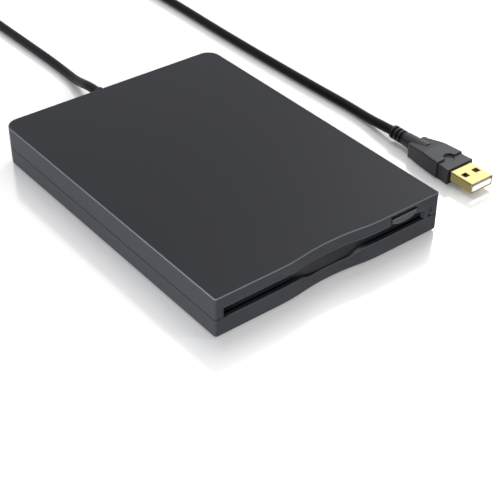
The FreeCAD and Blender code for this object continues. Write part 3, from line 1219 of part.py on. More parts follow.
def mechanism_screws():
    screws = []
    for number, (x, y) in enumerate(mechanism_holes()):
        seat = pan_top + (motor_board_gauge if number < 4 else bracket_gauge)
        screws.append(driven_screw(x, y, seat, seat - case_floor - tip_room))
    keep("mechanism_screws", group(*screws))
    seat = pan_top + board_lift + board_gauge
    screws = [driven_screw(x, y, seat, small_screw_length) for x, y in board_holes()]
    seat = case_floor + usb_board_lift + board_gauge
    screws += [driven_screw(x, y, seat, small_screw_length) for x, y in usb_screw_holes()]
    keep("board_screws", group(*screws))


def top_shield():
    high = shield_low + shield_gauge
    plate = block((-chassis_half - shield_gauge, chassis_half + shield_gauge),
                  (front + shield_setback, chassis_rear), (shield_low, high))
    flanges = [block(side, (front + shield_setback, wall_end), (shield_low - shield_flange, shield_low))
               for side in both_sides(chassis_half, chassis_half + shield_gauge)]
    window = block((-window_half, window_half), (head_y - window_front, head_hinge_y + window_back),
                   (shield_low - overrun, high + overrun))
    keep("top_shield", cut(join(plate, *flanges), window))


# ---------------------------------------------------------------- disk cradle and slider

def disk_cradle():
    body = new_body("cradle_sheet")
    left, right = lever_pivot_x - lever_plate, lever_pivot_x + lever_plate
    rear = cradle_rear + lever_plate
    plate = [(-cradle_outer, cradle_front), (cradle_outer, cradle_front), (cradle_outer, cradle_rear),
             (head_slot_half, cradle_rear), (head_slot_half, head_slot_front),
             (-head_slot_half, head_slot_front), (-head_slot_half, cradle_rear),
             (right, cradle_rear), (right, rear), (left, rear), (left, cradle_rear),
             (-cradle_outer, cradle_rear)]
    extrude(body, "XY", bay_top, cradle_top, [plate])
    sides = [rectangle(low, high, cradle_front, cradle_rear)
             for low, high in both_sides(cradle_inner, cradle_outer)]
    extrude(body, "XY", lip_low, bay_top, sides)
    lips = [rectangle(low, high, cradle_front, cradle_rear)
            for low, high in both_sides(cradle_outer - cradle_lip, cradle_inner)]
    extrude(body, "XY", lip_low, lip_top, lips)
    stops = [rectangle(low, high, lip_top + stop_rise, bay_top)
             for low, high in both_sides(stop_inner, stop_inner + stop_width)]
    extrude(body, "XZ", cradle_rear - cradle_gauge, cradle_rear, stops)
    for low, high in both_sides(cradle_outer, chassis_half + guide_proud):
        pins = [(y, guide_z, guide_radius) for y in (guide_front, guide_rear)]
        extrude(body, "YZ", low, high, circles=pins)
    extrude(body, "XY", bay_top, cradle_top, circles=[(lever_pivot_x, lever_pivot_y, lever_pin_radius)],
            cut=True)
    reach = lever_tip + lever_slot_room
    start, end = lever_rest + lever_slot_end, lever_rest - lever_swing - lever_slot_end
    extrude(body, "XY", bay_top, cradle_top, [arc_slot(start, end, lever_reach, reach)], cut=True)
    head_low = cradle_top + lever_gauge + rivet_gap
    pin = join(rod("Z", lever_pivot_x, lever_pivot_y, lever_pin_radius, bay_top, head_low),
               rod("Z", lever_pivot_x, lever_pivot_y, lever_pin_radius + rivet_rim,
                   head_low, head_low + rivet_gauge))
    keep("disk_cradle", join(body, pin))


def arc_slot(start, end, reach, half):
    """A slot round the lever's pivot between two angles in front of the +X line."""
    def spot(radius, angle):
        return lever_pivot_x + radius * cosine(angle), lever_pivot_y - radius * sine(angle)
    inner, outer = reach - half, reach + half
    first, last = spot(outer, start), spot(outer, end)
    back_first, back_last = spot(inner, end), spot(inner, start)
    return [(first[0], first[1]), (last[0], last[1], outer), (back_first[0], back_first[1]),
            (back_last[0], back_last[1], -inner)]


def shutter_lever():
    body = new_body("shutter_lever")
    low, high = cradle_top, cradle_top + lever_gauge
    end_half = lever_tip + lever_taper
    arm = [(0, -lever_width / 2), (lever_reach, -end_half), (lever_reach, end_half), (0, lever_width / 2)]
    extrude(body, "XY", low, high, [arm])
    extrude(body, "XY", low, high, circles=[(0, 0, lever_hub)])
    extrude(body, "XY", low, high, circles=[(0, 0, lever_pin_radius + pin_room)], cut=True)
    extrude(body, "XY", low, high, circles=[(lever_reach, 0, lever_tip + lever_eye)])
    extrude(body, "XY", lip_top + lever_tip_room, low, circles=[(lever_reach, 0, lever_tip)])
    body.setExpression("Placement.Base.x", lever_pivot_x.text)
    body.setExpression("Placement.Base.y", lever_pivot_y.text)
    body.setExpression("Placement.Rotation.Angle", (-lever_rest).text)
    keep("shutter_lever", body)
    lever_spring()


# Legs of the lever's spring: distance to the right of the pivot and behind it
LEVER_SPRING_START = ((-4.6, -1.7), (-2.2, -1.5))
LEVER_SPRING_END = ((2.2, -1.5), (5.2, -1.7))


def lever_spring():
    """One turn round the lever's pivot with a leg to either side."""
    turn, wire, rise = lever_spring_radius.value, lever_spring_wire.value, lever_spring_rise.value
    x, y = lever_pivot_x.value, lever_pivot_y.value
    low = (cradle_top + lever_gauge + lever_spring_wire + lever_spring_gap).value
    points = [(x + side, y + along, low) for side, along in LEVER_SPRING_START]
    for step in range(13):
        angle = -math.pi / 2 + 2 * math.pi * step / 12
        points.append((x + turn * math.cos(angle), y + turn * math.sin(angle), low + rise * step / 12))
    points += [(x + side, y + along, low + rise) for side, along in LEVER_SPRING_END]
    keep("lever_spring", made(pipe(points, wire)))


def eject_slider():
    body = new_body("eject_slider")
    cross = slider_front + slider_cross
    inner = slider_half - slider_bar
    tab_half = stem_width / 2 - socket_wall
    tab_low, tab_high = button_middle - tab_half, button_middle + tab_half
    frame = [(tab_low, slider_front), (tab_low, slider_front - slider_tab),
             (tab_high, slider_front - slider_tab), (tab_high, slider_front), (slider_half, slider_front),
             (slider_half, slider_rear), (inner, slider_rear), (inner, cross), (-inner, cross),
             (-inner, slider_rear), (-slider_half, slider_rear), (-slider_half, slider_front)]
    extrude(body, "XY", slider_low, slider_high, [frame])
    for y in (guide_front, guide_rear):
        rise = guide_z - cradle_drop - guide_radius - cam_wall
        side = rectangle(y - cam_plate, y + slider_travel + cam_plate, rise, slider_low)
        for low, high in both_sides(slider_half - slider_gauge, slider_half):
            extrude(body, "YZ", low, high, [side])
    slots = [cam_slot(y) for y in (guide_front, guide_rear)]
    extrude(body, "YZ", -half_width, half_width, slots, cut=True)
    hook = slider_rear - slider_hook_back
    for low, high in both_sides(spring_across - spring_tab_width / 2, spring_across + spring_tab_width / 2):
        tab = rectangle(low, high, spring_z - spring_tab_drop, slider_low)
        extrude(body, "XZ", hook - slider_gauge, hook, [tab])
    keep("eject_slider", body)


def cam_slot(y):
    """A slanted slot with round ends: the pin goes down as the slider goes forward."""
    half = guide_radius + guide_room
    length = math.hypot(slider_travel.value, cradle_drop.value)
    along, down = slider_travel / length, -cradle_drop / length
    across, upward = half * -down, half * along
    top, low = (y, guide_z), (y + slider_travel, guide_z - cradle_drop)
    end = (low[0] + half * along, low[1] + half * down)
    start = (top[0] - half * along, top[1] - half * down)
    return [(top[0] - across, top[1] - upward, half), (low[0] - across, low[1] - upward),
            (end[0], end[1], half), (low[0] + across, low[1] + upward, half),
            (top[0] + across, top[1] + upward), (start[0], start[1], half)]


def slider_springs():
    start = (spring_front + ledge_gauge + spring_seat).value
    length = (slider_rear - slider_hook_back - slider_gauge - spring_seat).value - start
    springs = []
    for side in (-1, 1):
        middle, z, mean = side * spring_across.value, spring_z.value, spring_radius.value
        points = []
        steps = int(12 * length / spring_pitch.value)
        for step in range(steps + 1):
            angle = 2 * math.pi * step / 12
            y = start + length * step / steps
            points.append((middle + mean * math.cos(angle), y, z + mean * math.sin(angle)))
        springs.append(pipe(points, spring_wire.value))
    keep("slider_springs", made(Part.makeCompound(springs)))


# ---------------------------------------------------------------- spindle

def spindle():
    y = spindle_y
    near, far = y - motor_board_front, y + motor_board_rear
    board = block((-motor_board_half, motor_board_half), (near, far), (pan_top, board_top))
    holes = [rod("Z", x, hole_y, small_screw_radius + screw_room, pan_top - overrun, board_top + overrun)
             for x, hole_y in mechanism_holes()[:4]]
    middle = rod("Z", 0, y, bearing_radius + hole_room, pan_top - overrun, board_top + overrun)
    keep("spindle_board", cut(board, middle, *holes))
    top = pan_top + bearing_height
    bearing = join(rod("Z", 0, y, bearing_radius, pan_top, top),
                   rod("Z", 0, y, bearing_flange, board_top, board_top + flange_gauge))
    bore = rod("Z", 0, y, shaft_radius + shaft_room, pan_top - overrun, top + overrun)
    keep("spindle_bearing", cut(bearing, bore))
    stator(board_top + flange_gauge)
    rotor()


def tooth_shapes(reach, half, low, high, teeth=9):
    """Blocks that stand round the spindle like spokes."""
    solids = []
    for tooth in range(teeth):
        solid = doc.addObject("Part::Box", "Tooth")
        solid.setExpression("Length", (reach[1] - reach[0]).text)
        solid.setExpression("Width", (2 * half).text)
        solid.setExpression("Height", (high - low).text)
        angle = math.radians(360 * tooth / teeth)
        corner = Vector(reach[0].value * math.cos(angle) + half.value * math.sin(angle),
                        spindle_y.value + reach[0].value * math.sin(angle) - half.value * math.cos(angle),
                        low.value)
        solid.Placement = Placement(corner, Rotation(Vector(0, 0, 1), math.degrees(angle)))
        solids.append(solid)
    return solids


def stator(low):
    high = low + stator_gauge
    hub = rod("Z", 0, spindle_y, stator_hub_radius, low, high)
    teeth = tooth_shapes((bearing_radius + tooth_root, stator_radius), tooth_width / 2, low, high)
    bore = rod("Z", 0, spindle_y, bearing_radius + thread_room, low - overrun, high + overrun)
    core = cut(join(hub, *teeth), bore)
    keep("stator_core", core)
    outer = tooth_shapes((coil_start, coil_end), coil_width / 2, low - coil_rise, high + coil_rise)
    inner = tooth_shapes((coil_start - overrun, coil_end + overrun), tooth_width / 2, low, high)
    keep("stator_coils", cut(join(*outer), join(*inner)))


def rotor():
    y, low = spindle_y, pan_top + rotor_rise
    plate_top = low + rotor_gauge
    hub_top = plate_top + hub_gauge
    shaft_top = hub_top + shaft_rise
    hole_x = drive_pin_reach
    hole = rod("Z", hole_x, y, drive_pin_radius + pin_room, low - overrun, hub_top + overrun)
    cup = cut(join(rod("Z", 0, y, rotor_radius, low, plate_top),
                   cut(rod("Z", 0, y, rotor_radius, low - rotor_skirt, low),
                       rod("Z", 0, y, rotor_radius - skirt_gauge, low - rotor_skirt, low))),
              rod("Z", hole_x, y, drive_pin_radius + pin_room, low - overrun, plate_top + overrun))
    keep("rotor_cup", cut(cup, rod("Z", 0, y, shaft_radius, low - overrun, plate_top + overrun)))
    shaft = join(rod("Z", 0, y, hub_radius, plate_top, hub_top),
                 rod("Z", 0, y, shaft_radius, pan_top + shaft_lift, shaft_top - shaft_chamfer),
                 taper("Z", 0, y, shaft_radius, shaft_radius - shaft_chamfer,
                       shaft_top - shaft_chamfer, shaft_top))
    keep("disk_table", cut(shaft, hole))
    keep("rotor_magnet", cut(rod("Z", 0, y, rotor_radius - skirt_gauge, low - rotor_skirt, low),
                             rod("Z", 0, y, rotor_radius - skirt_gauge - magnet_gauge,
                                 low - rotor_skirt - overrun, low + overrun)))
    pin_top = hub_top + drive_pin_rise
    shank_top = pin_top - drive_pin_chamfer
    keep("drive_pin", join(rod("Z", hole_x, y, drive_pin_radius, low + drive_pin_lift, shank_top),
                           taper("Z", hole_x, y, drive_pin_radius, drive_pin_radius - drive_pin_chamfer,
                                 shank_top, pin_top)))


# ---------------------------------------------------------------- head carriage

def guide_rod():
    keep("guide_rod", rod("Y", rod_x, rod_z, rod_radius, rod_front, rod_rear))
    clamps = []
    for start, side, hole in ((rod_front, -1, clamp_hole_left), (rod_rear - clamp_length, 1, clamp_hole_right)):
        along = (start, start + clamp_length)
        post = block((rod_x - clamp_half, rod_x + clamp_half), along, (pan_top, rod_z + clamp_rise))
        foot_x = rod_x + side * (clamp_half + clamp_toe / 2)
        toe = block((foot_x - clamp_toe / 2, foot_x + clamp_toe / 2), along, (pan_top, pan_top + bracket_gauge))
        screw = rod("Z", rod_x + side * hole, start + clamp_length / 2, small_screw_radius + hole_room,
                    pan_top - overrun, pan_top + bracket_gauge + overrun)
        seat = rod("Y", rod_x, rod_z, rod_radius, start - overrun, start + clamp_length + overrun)
        clamps.append(cut(join(post, toe), screw, seat))
    keep("rod_clamps", group(*clamps))


def head_carriage():
    low = pan_top + carriage_lift
    top = low + carriage_gauge
    wing_along = (carriage_rear - wing_depth, carriage_rear)
    post_along = (post_front, carriage_rear)
    ear_low = head_hinge_z - ear_drop
    arm = block((-carriage_half, carriage_half), (arm_front + arm_setback, carriage_rear), (low, top))
    bush = block((rod_x - bush_half, -carriage_half), (bush_front, carriage_rear), (pan_top + bush_lift, top))
    wing = block((carriage_half, needle_root), wing_along, (low, top))
    riser = block((needle_root - riser_gauge, needle_root), wing_along, (top, screw_z + riser_rise))
    post = block((-post_half, post_half), post_along, (top, ear_low))
    ears = [block(side, post_along, (ear_low, head_hinge_z + ear_rise))
            for side in both_sides(post_half - ear_gauge, post_half)]
    carriage = cut(join(arm, bush, wing, riser, post, *ears),
                   rod("Y", rod_x, rod_z, rod_radius + rod_room, bush_front - overrun, carriage_rear + overrun),
                   rod("X", head_hinge_y, head_hinge_z, head_pin_radius, -post_half - overrun,
                       post_half + overrun))
    keep("head_carriage", carriage)
    tip = screw_x - screw_core - thread_radius - needle_room
    keep("carriage_needle", rod("X", needle_y, screw_z, needle_radius, needle_root, tip))
    keep("head_hinge_pin", rod("X", head_hinge_y, head_hinge_z, head_pin_radius, -post_half, post_half))
    gimbal_top = top + gimbal_gauge
    gimbal = block((-head_half, head_half), (head_y - head_half, head_y + head_half), (top, gimbal_top))
    face = block((-face_side, face_side), (head_y - face_along, head_y + face_along),
                 (gimbal_top, top + lower_head_height))
    keep("lower_head", join(gimbal, face))


# Legs of the head spring: distance behind the hinge and height above it
HEAD_SPRING_START = ((-6.5, 1.64), (-4.2, 1.64), (-1.6, 1.58))
HEAD_SPRING_END = (-1.3, -1.75)


def head_arm():
    low = head_hinge_z + arm_rise
    high = low + arm_gauge
    neck_front = post_front - neck_length
    blade = block((-arm_half, arm_half), (arm_front, neck_front), (low, high))
    neck = block((-arm_neck_half, arm_neck_half), (neck_front, head_hinge_y), (low, high))
    barrel_half = post_half - ear_gauge - barrel_room
    barrel = rod("X", head_hinge_y, head_hinge_z, barrel_radius, -barrel_half, barrel_half)
    bore = rod("X", head_hinge_y, head_hinge_z, head_pin_radius + pin_room, -barrel_half - overrun,
               barrel_half + overrun)
    keep("head_arm", cut(join(blade, neck, barrel), bore))
    keep("upper_head", block((-head_half, head_half), (head_y - head_half, head_y + head_half),
                             (low - head_gauge, low)))
    y, z = head_hinge_y.value, head_hinge_z.value
    start, mean = head_spring_x.value, head_spring_radius.value
    points = [(start, y + along, z + rise) for along, rise in HEAD_SPRING_START]
    for step in range(31):
        angle = math.pi / 2 - 2 * math.pi * step / 12
        x = start + head_spring_length.value * step / 30
        points.append((x, y + mean * math.cos(angle), z + mean * math.sin(angle)))
    along, rise = HEAD_SPRING_END
    points.append((x, y + along, z + rise))
    keep("head_spring", made(pipe(points, head_spring_wire.value)))


def lead_screw():
    plate_rear, pivot_front = bracket_y, bracket_front_y
    thread_start, thread_end = pivot_front + screw_front_room, plate_rear - bracket_gauge - screw_rear_room
    core = join(rod("Y", screw_x, screw_z, screw_core, thread_start, thread_end),
                rod("Y", screw_x, screw_z, screw_pivot, pivot_front - pivot_reach, thread_start),
                rod("Y", screw_x, screw_z, screw_pivot, thread_end, plate_rear + shaft_in_motor))
    length = (thread_end - thread_start - 2 * thread_inset).value
    steps = int(12 * length / screw_lead.value)
    points = []
    for step in range(steps + 1):
        angle = 2 * math.pi * step / 12
        y = (thread_start + thread_inset).value + screw_lead.value * step / 12
        radius = screw_core.value
        points.append((screw_x.value + radius * math.cos(angle), y, screw_z.value + radius * math.sin(angle)))
    ridge = made(pipe(points, thread_radius.value))
    keep("lead_screw", join(core, ridge))


def stepper():
    rear = bracket_y + motor_length
    motor = join(rod("Y", screw_x, screw_z, motor_radius, bracket_y, rear - motor_step),
                 rod("Y", screw_x, screw_z, motor_radius - motor_step, rear - motor_step, rear),
                 rod("Y", screw_x, screw_z, motor_boss, bracket_y - bracket_gauge, bracket_y))
    bore = rod("Y", screw_x, screw_z, screw_pivot + pin_room, bracket_y - bracket_gauge - overrun,
               bracket_y + shaft_in_motor + shaft_end_room)
    keep("stepper_motor", cut(motor, bore))
    foot_level = (pan_top, pan_top + bracket_gauge)
    hole_level = (pan_top - overrun, pan_top + bracket_gauge + overrun)
    plate = block((screw_x - bracket_left, screw_x + bracket_right), (bracket_y - bracket_gauge, bracket_y),
                  (pan_top, screw_z + bracket_rise))
    foot = block((screw_x + bracket_foot_left, screw_x + bracket_right),
                 (bracket_y - bracket_foot, bracket_y - bracket_gauge), foot_level)
    holes = [rod("Y", screw_x, screw_z, motor_boss, bracket_y - bracket_gauge - overrun, bracket_y + overrun),
             rod("Z", screw_x + bracket_hole_side, bracket_y - bracket_hole_front,
                 small_screw_radius + hole_room, *hole_level)]
    keep("motor_bracket", cut(join(plate, foot), *holes))
    plate = block((screw_x - bearing_left, screw_x + bearing_right),
                  (bracket_front_y - bracket_gauge, bracket_front_y), (pan_top, screw_z + bearing_rise))
    foot = block((screw_x - bearing_foot_left, screw_x + bearing_right),
                 (bracket_front_y, bracket_front_y + bearing_foot), foot_level)
    holes = [rod("Y", screw_x, screw_z, screw_pivot + pin_room, bracket_front_y - bracket_gauge - overrun,
                 bracket_front_y + overrun),
             rod("Z", screw_x + bearing_hole_side, bracket_front_y + bearing_hole_back,
                 small_screw_radius + hole_room, *hole_level)]
    keep("screw_bearing", cut(join(plate, foot), *holes))


# ---------------------------------------------------------------- boards

def main_board():
    low, high = pan_top + board_lift, pan_top + board_lift + board_gauge
    plate = block((main_board_left, main_board_right), (main_board_front, main_board_rear), (low, high))
    holes = [rod("Z", x, y, small_screw_radius + hole_room, low - overrun, high + overrun)
             for x, y in board_holes()]
    keep("main_board", cut(plate, *holes))
    x = (main_board_left + main_board_right) / 2
    near = main_board_front + chip_back
    small_front = main_board_front + small_chip_inset
    small_level = (high, high + small_chip_gauge)
    low_row = (small_front, small_front + small_chip_depth)
    clock_row = (main_board_front + clock_back, main_board_front + clock_back + small_chip_depth)
    driver_right = main_board_right - driver_side
    memory_left, clock_left = main_board_left + memory_side, main_board_left + clock_side
    return [block((x - chip_half, x + chip_half), (near, near + 2 * chip_half), (high, high + chip_gauge)),
            block((driver_right - driver_width, driver_right), low_row, small_level),
            block((memory_left, memory_left + memory_width), low_row, small_level),
            block((clock_left, clock_left + clock_width), clock_row, small_level),
            rod("Z", main_board_left + capacitor_side, main_board_front + capacitor_back, capacitor_radius,
                high, high + capacitor_height)]


def usb_board():
    low = case_floor + usb_board_lift
    high = low + board_gauge
    plate = block((usb_board_left, usb_board_right), (usb_board_front, usb_board_rear), (low, high))
    holes = [rod("Z", x, y, small_screw_radius + hole_room, low - overrun, high + overrun)
             for x, y in usb_screw_holes()]
    keep("usb_board", cut(plate, *holes))
    left, right = usb_board_left + bridge_side - bridge_half, usb_board_left + bridge_side + bridge_half
    near, crystal_near = usb_post_y - bridge_front, usb_post_y - crystal_front
    crystal_left, regulator_right = right + crystal_gap, left - regulator_gap
    return [block((left, right), (near, near + bridge_depth), (high, high + bridge_gauge)),
            block((crystal_left, crystal_left + crystal_width),
                  (crystal_near, crystal_near + crystal_depth), (high, high + crystal_gauge)),
            block((regulator_right - regulator_width, regulator_right),
                  (near, near + regulator_depth), (high, high + regulator_gauge))]


def usb_screw_holes():
    return [(usb_board_left + usb_hole_left, usb_post_y), (usb_board_right - usb_hole_right, usb_post_y)]


# The two bends of an inner wire: x, shift in x from wire to wire, distance behind the wire's pin,
# and height above the gland's axis and above the pin
WIRE_BENDS = ((-2.2, 0.3, 1.6, -0.25), (-4.6, 0, 0.15, 0.25))


def inner_leads():
    """Four wires from the gland to their header on the USB board."""
    face, level = gland_face.value, gland_z.value
    pin_x = (usb_board_right - header_inset).value
    pin_z = (case_floor + usb_board_lift + board_gauge + pin_rise).value
    header_middle = (usb_board_front + header_front + header_depth / 2).value
    leads = []
    for number in range(4):
        place = number - 1.5
        side, pin_y = wire_pitch.value * place, header_middle + pin_pitch.value * place
        points = [(side, face, level), (side, face - wire_out.value, level)]
        for (x, spread, behind, rise), height in zip(WIRE_BENDS, (level, pin_z)):
            points.append((x + spread * place, pin_y + behind, height + rise))
        leads.append(pipe(points + [(pin_x, pin_y, pin_z)], wire_radius.value))
    keep("inner_leads", made(Part.makeCompound(leads)))


def flat_cable():
    """The sockets on both boards, the flat cable between them and the one to the heads."""
    low, high = main_board_left + cable_inset, main_board_right - cable_inset
    main_top = pan_top + board_lift + board_gauge
    usb_top = case_floor + usb_board_lift + board_gauge
    sideways = (low - cable_socket_side, high + cable_socket_side)
    main_edge, usb_edge = main_board_rear - cable_socket_inset, usb_board_front + cable_socket_inset
    near = block(sideways, (main_edge - cable_socket_depth, main_edge),
                 (main_top, main_top + cable_socket_height))
    far = block(sideways, (usb_edge, usb_edge + usb_socket_depth), (usb_top, usb_top + usb_socket_height))
    socket_edge = main_board_right - head_socket_inset
    heads = block((socket_edge - head_socket_width, socket_edge),
                  (post_front - head_socket_side, carriage_rear + head_socket_side),
                  (main_top, main_top + head_socket_height))
    header_edge, header_near = usb_board_right - header_inset, usb_board_front + header_front
    header = block((header_edge - header_width, header_edge), (header_near, header_near + header_depth),
                   (usb_top, usb_top + header_height))
    keep("board_sockets", group(near, far, heads, header))
    body = new_body("flat_cable")
    half = flex_gauge / 2
    path = [(main_edge, main_top + cable_start), (main_board_rear + cable_out, main_top + cable_arch),
            (usb_board_front - cable_in, usb_top + cable_dip), (usb_edge, usb_top + cable_end)]
    outline = ([(y, z + half) for y, z in path] + [(y, z - half) for y, z in reversed(path)])[::-1]
    extrude(body, "YZ", low, high, [outline])
    keep("flat_cable", body)
    body = new_body("head_flex")
    slot, end = main_top + head_socket_height / 2, head_hinge_z - head_flex_drop
    path = [(socket_edge, slot), (main_board_right + head_flex_out, slot + head_flex_rise),
            (-post_half - head_flex_in, end - head_flex_sag), (-post_half, end)]
    outline = ([(x, z + half) for x, z in path] + [(x, z - half) for x, z in reversed(path)])[::-1]
    extrude(body, "XZ", post_front, carriage_rear, [outline])
    keep("head_flex", body)


def switches():
    top = front_board_top
    body = new_body("front_board")
    notch_side, tab_front = lens_middle + front_notch_half, front_board_front + front_notch
    plan = [(-front_board_half, front_board_front), (notch_side, front_board_front),
            (notch_side, tab_front), (front_board_half, tab_front),
            (front_board_half, front_board_rear), (-front_board_half, front_board_rear)]
    extrude(body, "XY", pan_top, top, [plan])
    keep("front_board", body)
    housings = []
    flange_radius = plunger_radius + plunger_flange
    names = ((disk_switch_x, "plunger_disk_in"), (protect_switch_x, "plunger_protect"),
             (density_switch_x, "plunger_density"))
    for x, name in names:
        high = top + switch_height
        shell = block((x - switch_half, x + switch_half), (switch_y - switch_half, switch_y + switch_half),
                      (top, high))
        housings.append(cut(shell, rod("Z", x, switch_y, plunger_radius + pin_room, top, high + overrun),
                            rod("Z", x, switch_y, flange_radius + plunger_flange_room, top,
                                high - switch_lip)))
        flange_high = high - switch_lip - plunger_flange_room
        flange_low = flange_high - plunger_flange_gauge
        keep(name, join(rod("Z", x, switch_y, flange_radius, flange_low, flange_high),
                        rod("Z", x, switch_y, plunger_radius, flange_low, high + plunger_rise)))
    keep("detector_switches", group(*housings))


# ---------------------------------------------------------------- lead and plug

def gland():
    body = rod("Y", 0, gland_z, gland_neck, inner_back, back)
    inner = rod("Y", 0, gland_z, gland_flange, gland_face, inner_back)
    outer = rod("Y", 0, gland_z, gland_flange, back, back + gland_flange_gauge)
    start = back + gland_flange_gauge
    boot = taper("Y", 0, gland_z, gland_neck + boot_step, boot_end, start, start + boot_length)
    grooves = []
    for number in range(4):
        low = start + boot_groove_first + boot_groove_pitch * number
        high = low + boot_groove_width
        ring = cut(rod("Y", 0, gland_z, gland_neck + boot_step + overrun, low, high),
                   rod("Y", 0, gland_z, boot_end - boot_groove_depth, low, high))
        grooves.append(ring)
    keep("cord_gland", cut(join(body, inner, outer, boot), *grooves))


def cord_wire(points):
    """Straight runs joined by arcs as large as the runs allow."""
    points = [Vector(*point) for point in points]
    edges, radii = [], []
    start = points[0]
    for number in range(1, len(points) - 1):
        before = points[number] - points[number - 1]
        after = points[number + 1] - points[number]
        half_turn = before.getAngle(after) / 2
        reach = 0.45 * min(before.Length, after.Length)
        radii.append(reach / math.tan(half_turn))
        inward = Vector(before).normalize()
        onward = Vector(after).normalize()
        first = points[number] - inward * reach
        last = points[number] + onward * reach
        middle_way = Vector(onward - inward).normalize()
        sag = radii[-1] / math.cos(half_turn) - radii[-1]
        edges.append(Part.LineSegment(start, first).toShape())
        edges.append(Part.Arc(first, points[number] + middle_way * sag, last).toShape())
        start = last
    edges.append(Part.LineSegment(start, points[-1]).toShape())
    return Part.Wire(edges), radii


def cord_tube(name, points):
    wire, radii = cord_wire(points)
    heading = Vector(*points[1]) - Vector(*points[0])
    section = Part.Wire([Part.Edge(Part.Circle(Vector(*points[0]), heading, cord_radius.value))])
    tube = wire.makePipeShell([section], True, False)
    expected = math.pi * cord_radius.value ** 2 * wire.Length
    print(name, "length {:.1f}".format(wire.Length), "smallest bend {:.1f}".format(min(radii)),
          "volume ratio {:.4f}".format(tube.Volume / expected))
    keep(name, made(tube))


LEAD_ROUTE = [
    (0, 83.5, 8.16), (0.2, 91, 7.7), (1.3, 99, 5.3), (2.8, 108, 2.7), (3.7, 118, 2.05),
    (3.9, 134, 2.05), (3.5, 153, 2.05), (3.0, 175.5, 2.05), (2.6, 196, 2.05), (3.6, 213, 2.05),
    (8.4, 229, 2.05), (18, 242.5, 2.05), (31.2, 254.5, 2.05), (46.7, 263.2, 2.05),
]
TAIL_ROUTE = [
    (81.5, 240, 6.15), (81.9, 225, 5.7), (82.4, 212, 3.4), (83.2, 198, 2.05), (84.2, 182, 2.05),
    (84.8, 166, 2.05), (85.1, 148, 2.05), (85.0, 130, 2.05), (84.7, 112, 2.05), (84.7, 94, 2.05),
    (84.9, 76, 2.05), (85.2, 58, 2.05), (85.6, 40, 2.05), (86.2, 24, 2.05), (86.4, 12, 2.05),
    (85.8, 1.5, 2.4), (85.15, -6.5, 3.5), (85.0, -14, 4.0),
]


def lead():
    cord_tube("cord_lead", LEAD_ROUTE)
    ring = cut(rod("Z", coil_x, coil_y, coil_inner + 5 * cord_radius, 0, 4 * cord_radius),
               rod("Z", coil_x, coil_y, coil_inner - cord_radius, -overrun, 4 * cord_radius + overrun))
    keep("cord_coil", ring)
    cord_tube("cord_tail", TAIL_ROUTE)


def plug():
    start = plug_body_rear + plug_neck
    end = start + relief_length
    gap = (relief_length - 4 * relief_ring) / 3
    core = rod("Y", plug_x, plug_z, relief_core, start, end)
    rings = [rod("Y", plug_x, plug_z, relief_radius, low, low + relief_ring)
             for low in (start + number * (relief_ring + gap) for number in range(4))]
    keep("plug_strain_relief", join(core, *rings))
    plug_mould()
    shell_low, shell_high = plug_z - shell_height / 2, plug_z + shell_height / 2
    root = collar_front + shell_root
    inside = shell_width / 2 - shell_gauge
    tongue_low = shell_low + shell_gauge
    body = new_body("usb_shell")
    extrude(body, "XZ", plug_tip, root, [shell_outline(zero)])
    extrude(body, "XZ", plug_tip - overrun, root - shell_end, [shell_outline(shell_gauge)], cut=True)
    window_y = plug_tip + window_setback
    windows = [rectangle(x - window_width / 2, x + window_width / 2, window_y, window_y + window_length)
               for x in (plug_x - window_side, plug_x + window_side)]
    extrude(body, "XY", shell_low - overrun, shell_high + overrun, windows, cut=True)
    keep("usb_shell", body)
    body = new_body("usb_insert")
    tongue_top = tongue_low + insert_gauge
    soft = shell_round - shell_gauge
    tongue = [(plug_x - inside + soft, tongue_low, soft), (plug_x + inside - soft, tongue_low),
              (plug_x + inside, tongue_low + soft, soft), (plug_x + inside, tongue_top),
              (plug_x - inside, tongue_top), (plug_x - inside, tongue_low + soft)]
    tongue_front = plug_tip + insert_setback
    extrude(body, "XZ", tongue_front, root - shell_end, [tongue])
    channel_y = tongue_front + contact_setback
    channels = [rectangle(plug_x + x - contact_width / 2, plug_x + x + contact_width / 2,
                          channel_y, channel_y + contact_length)
                for x in (-contact_outer, -contact_inner, contact_inner, contact_outer)]
    extrude(body, "XY", tongue_top - contact_depth, tongue_top + overrun, channels, cut=True)
    keep("usb_insert", body)


def shell_outline(inset):
    """The shell's outline with round corners, drawn in by an inset."""
    half, tall, corner = shell_width / 2 - inset, shell_height / 2 - inset, shell_round - inset
    left, right, low, high = plug_x - half, plug_x + half, plug_z - tall, plug_z + tall
    return [(left + corner, low, corner), (right - corner, low), (right, low + corner, corner),
            (right, high - corner), (right - corner, high, corner), (left + corner, high),
            (left, high - corner, corner), (left, low + corner)]


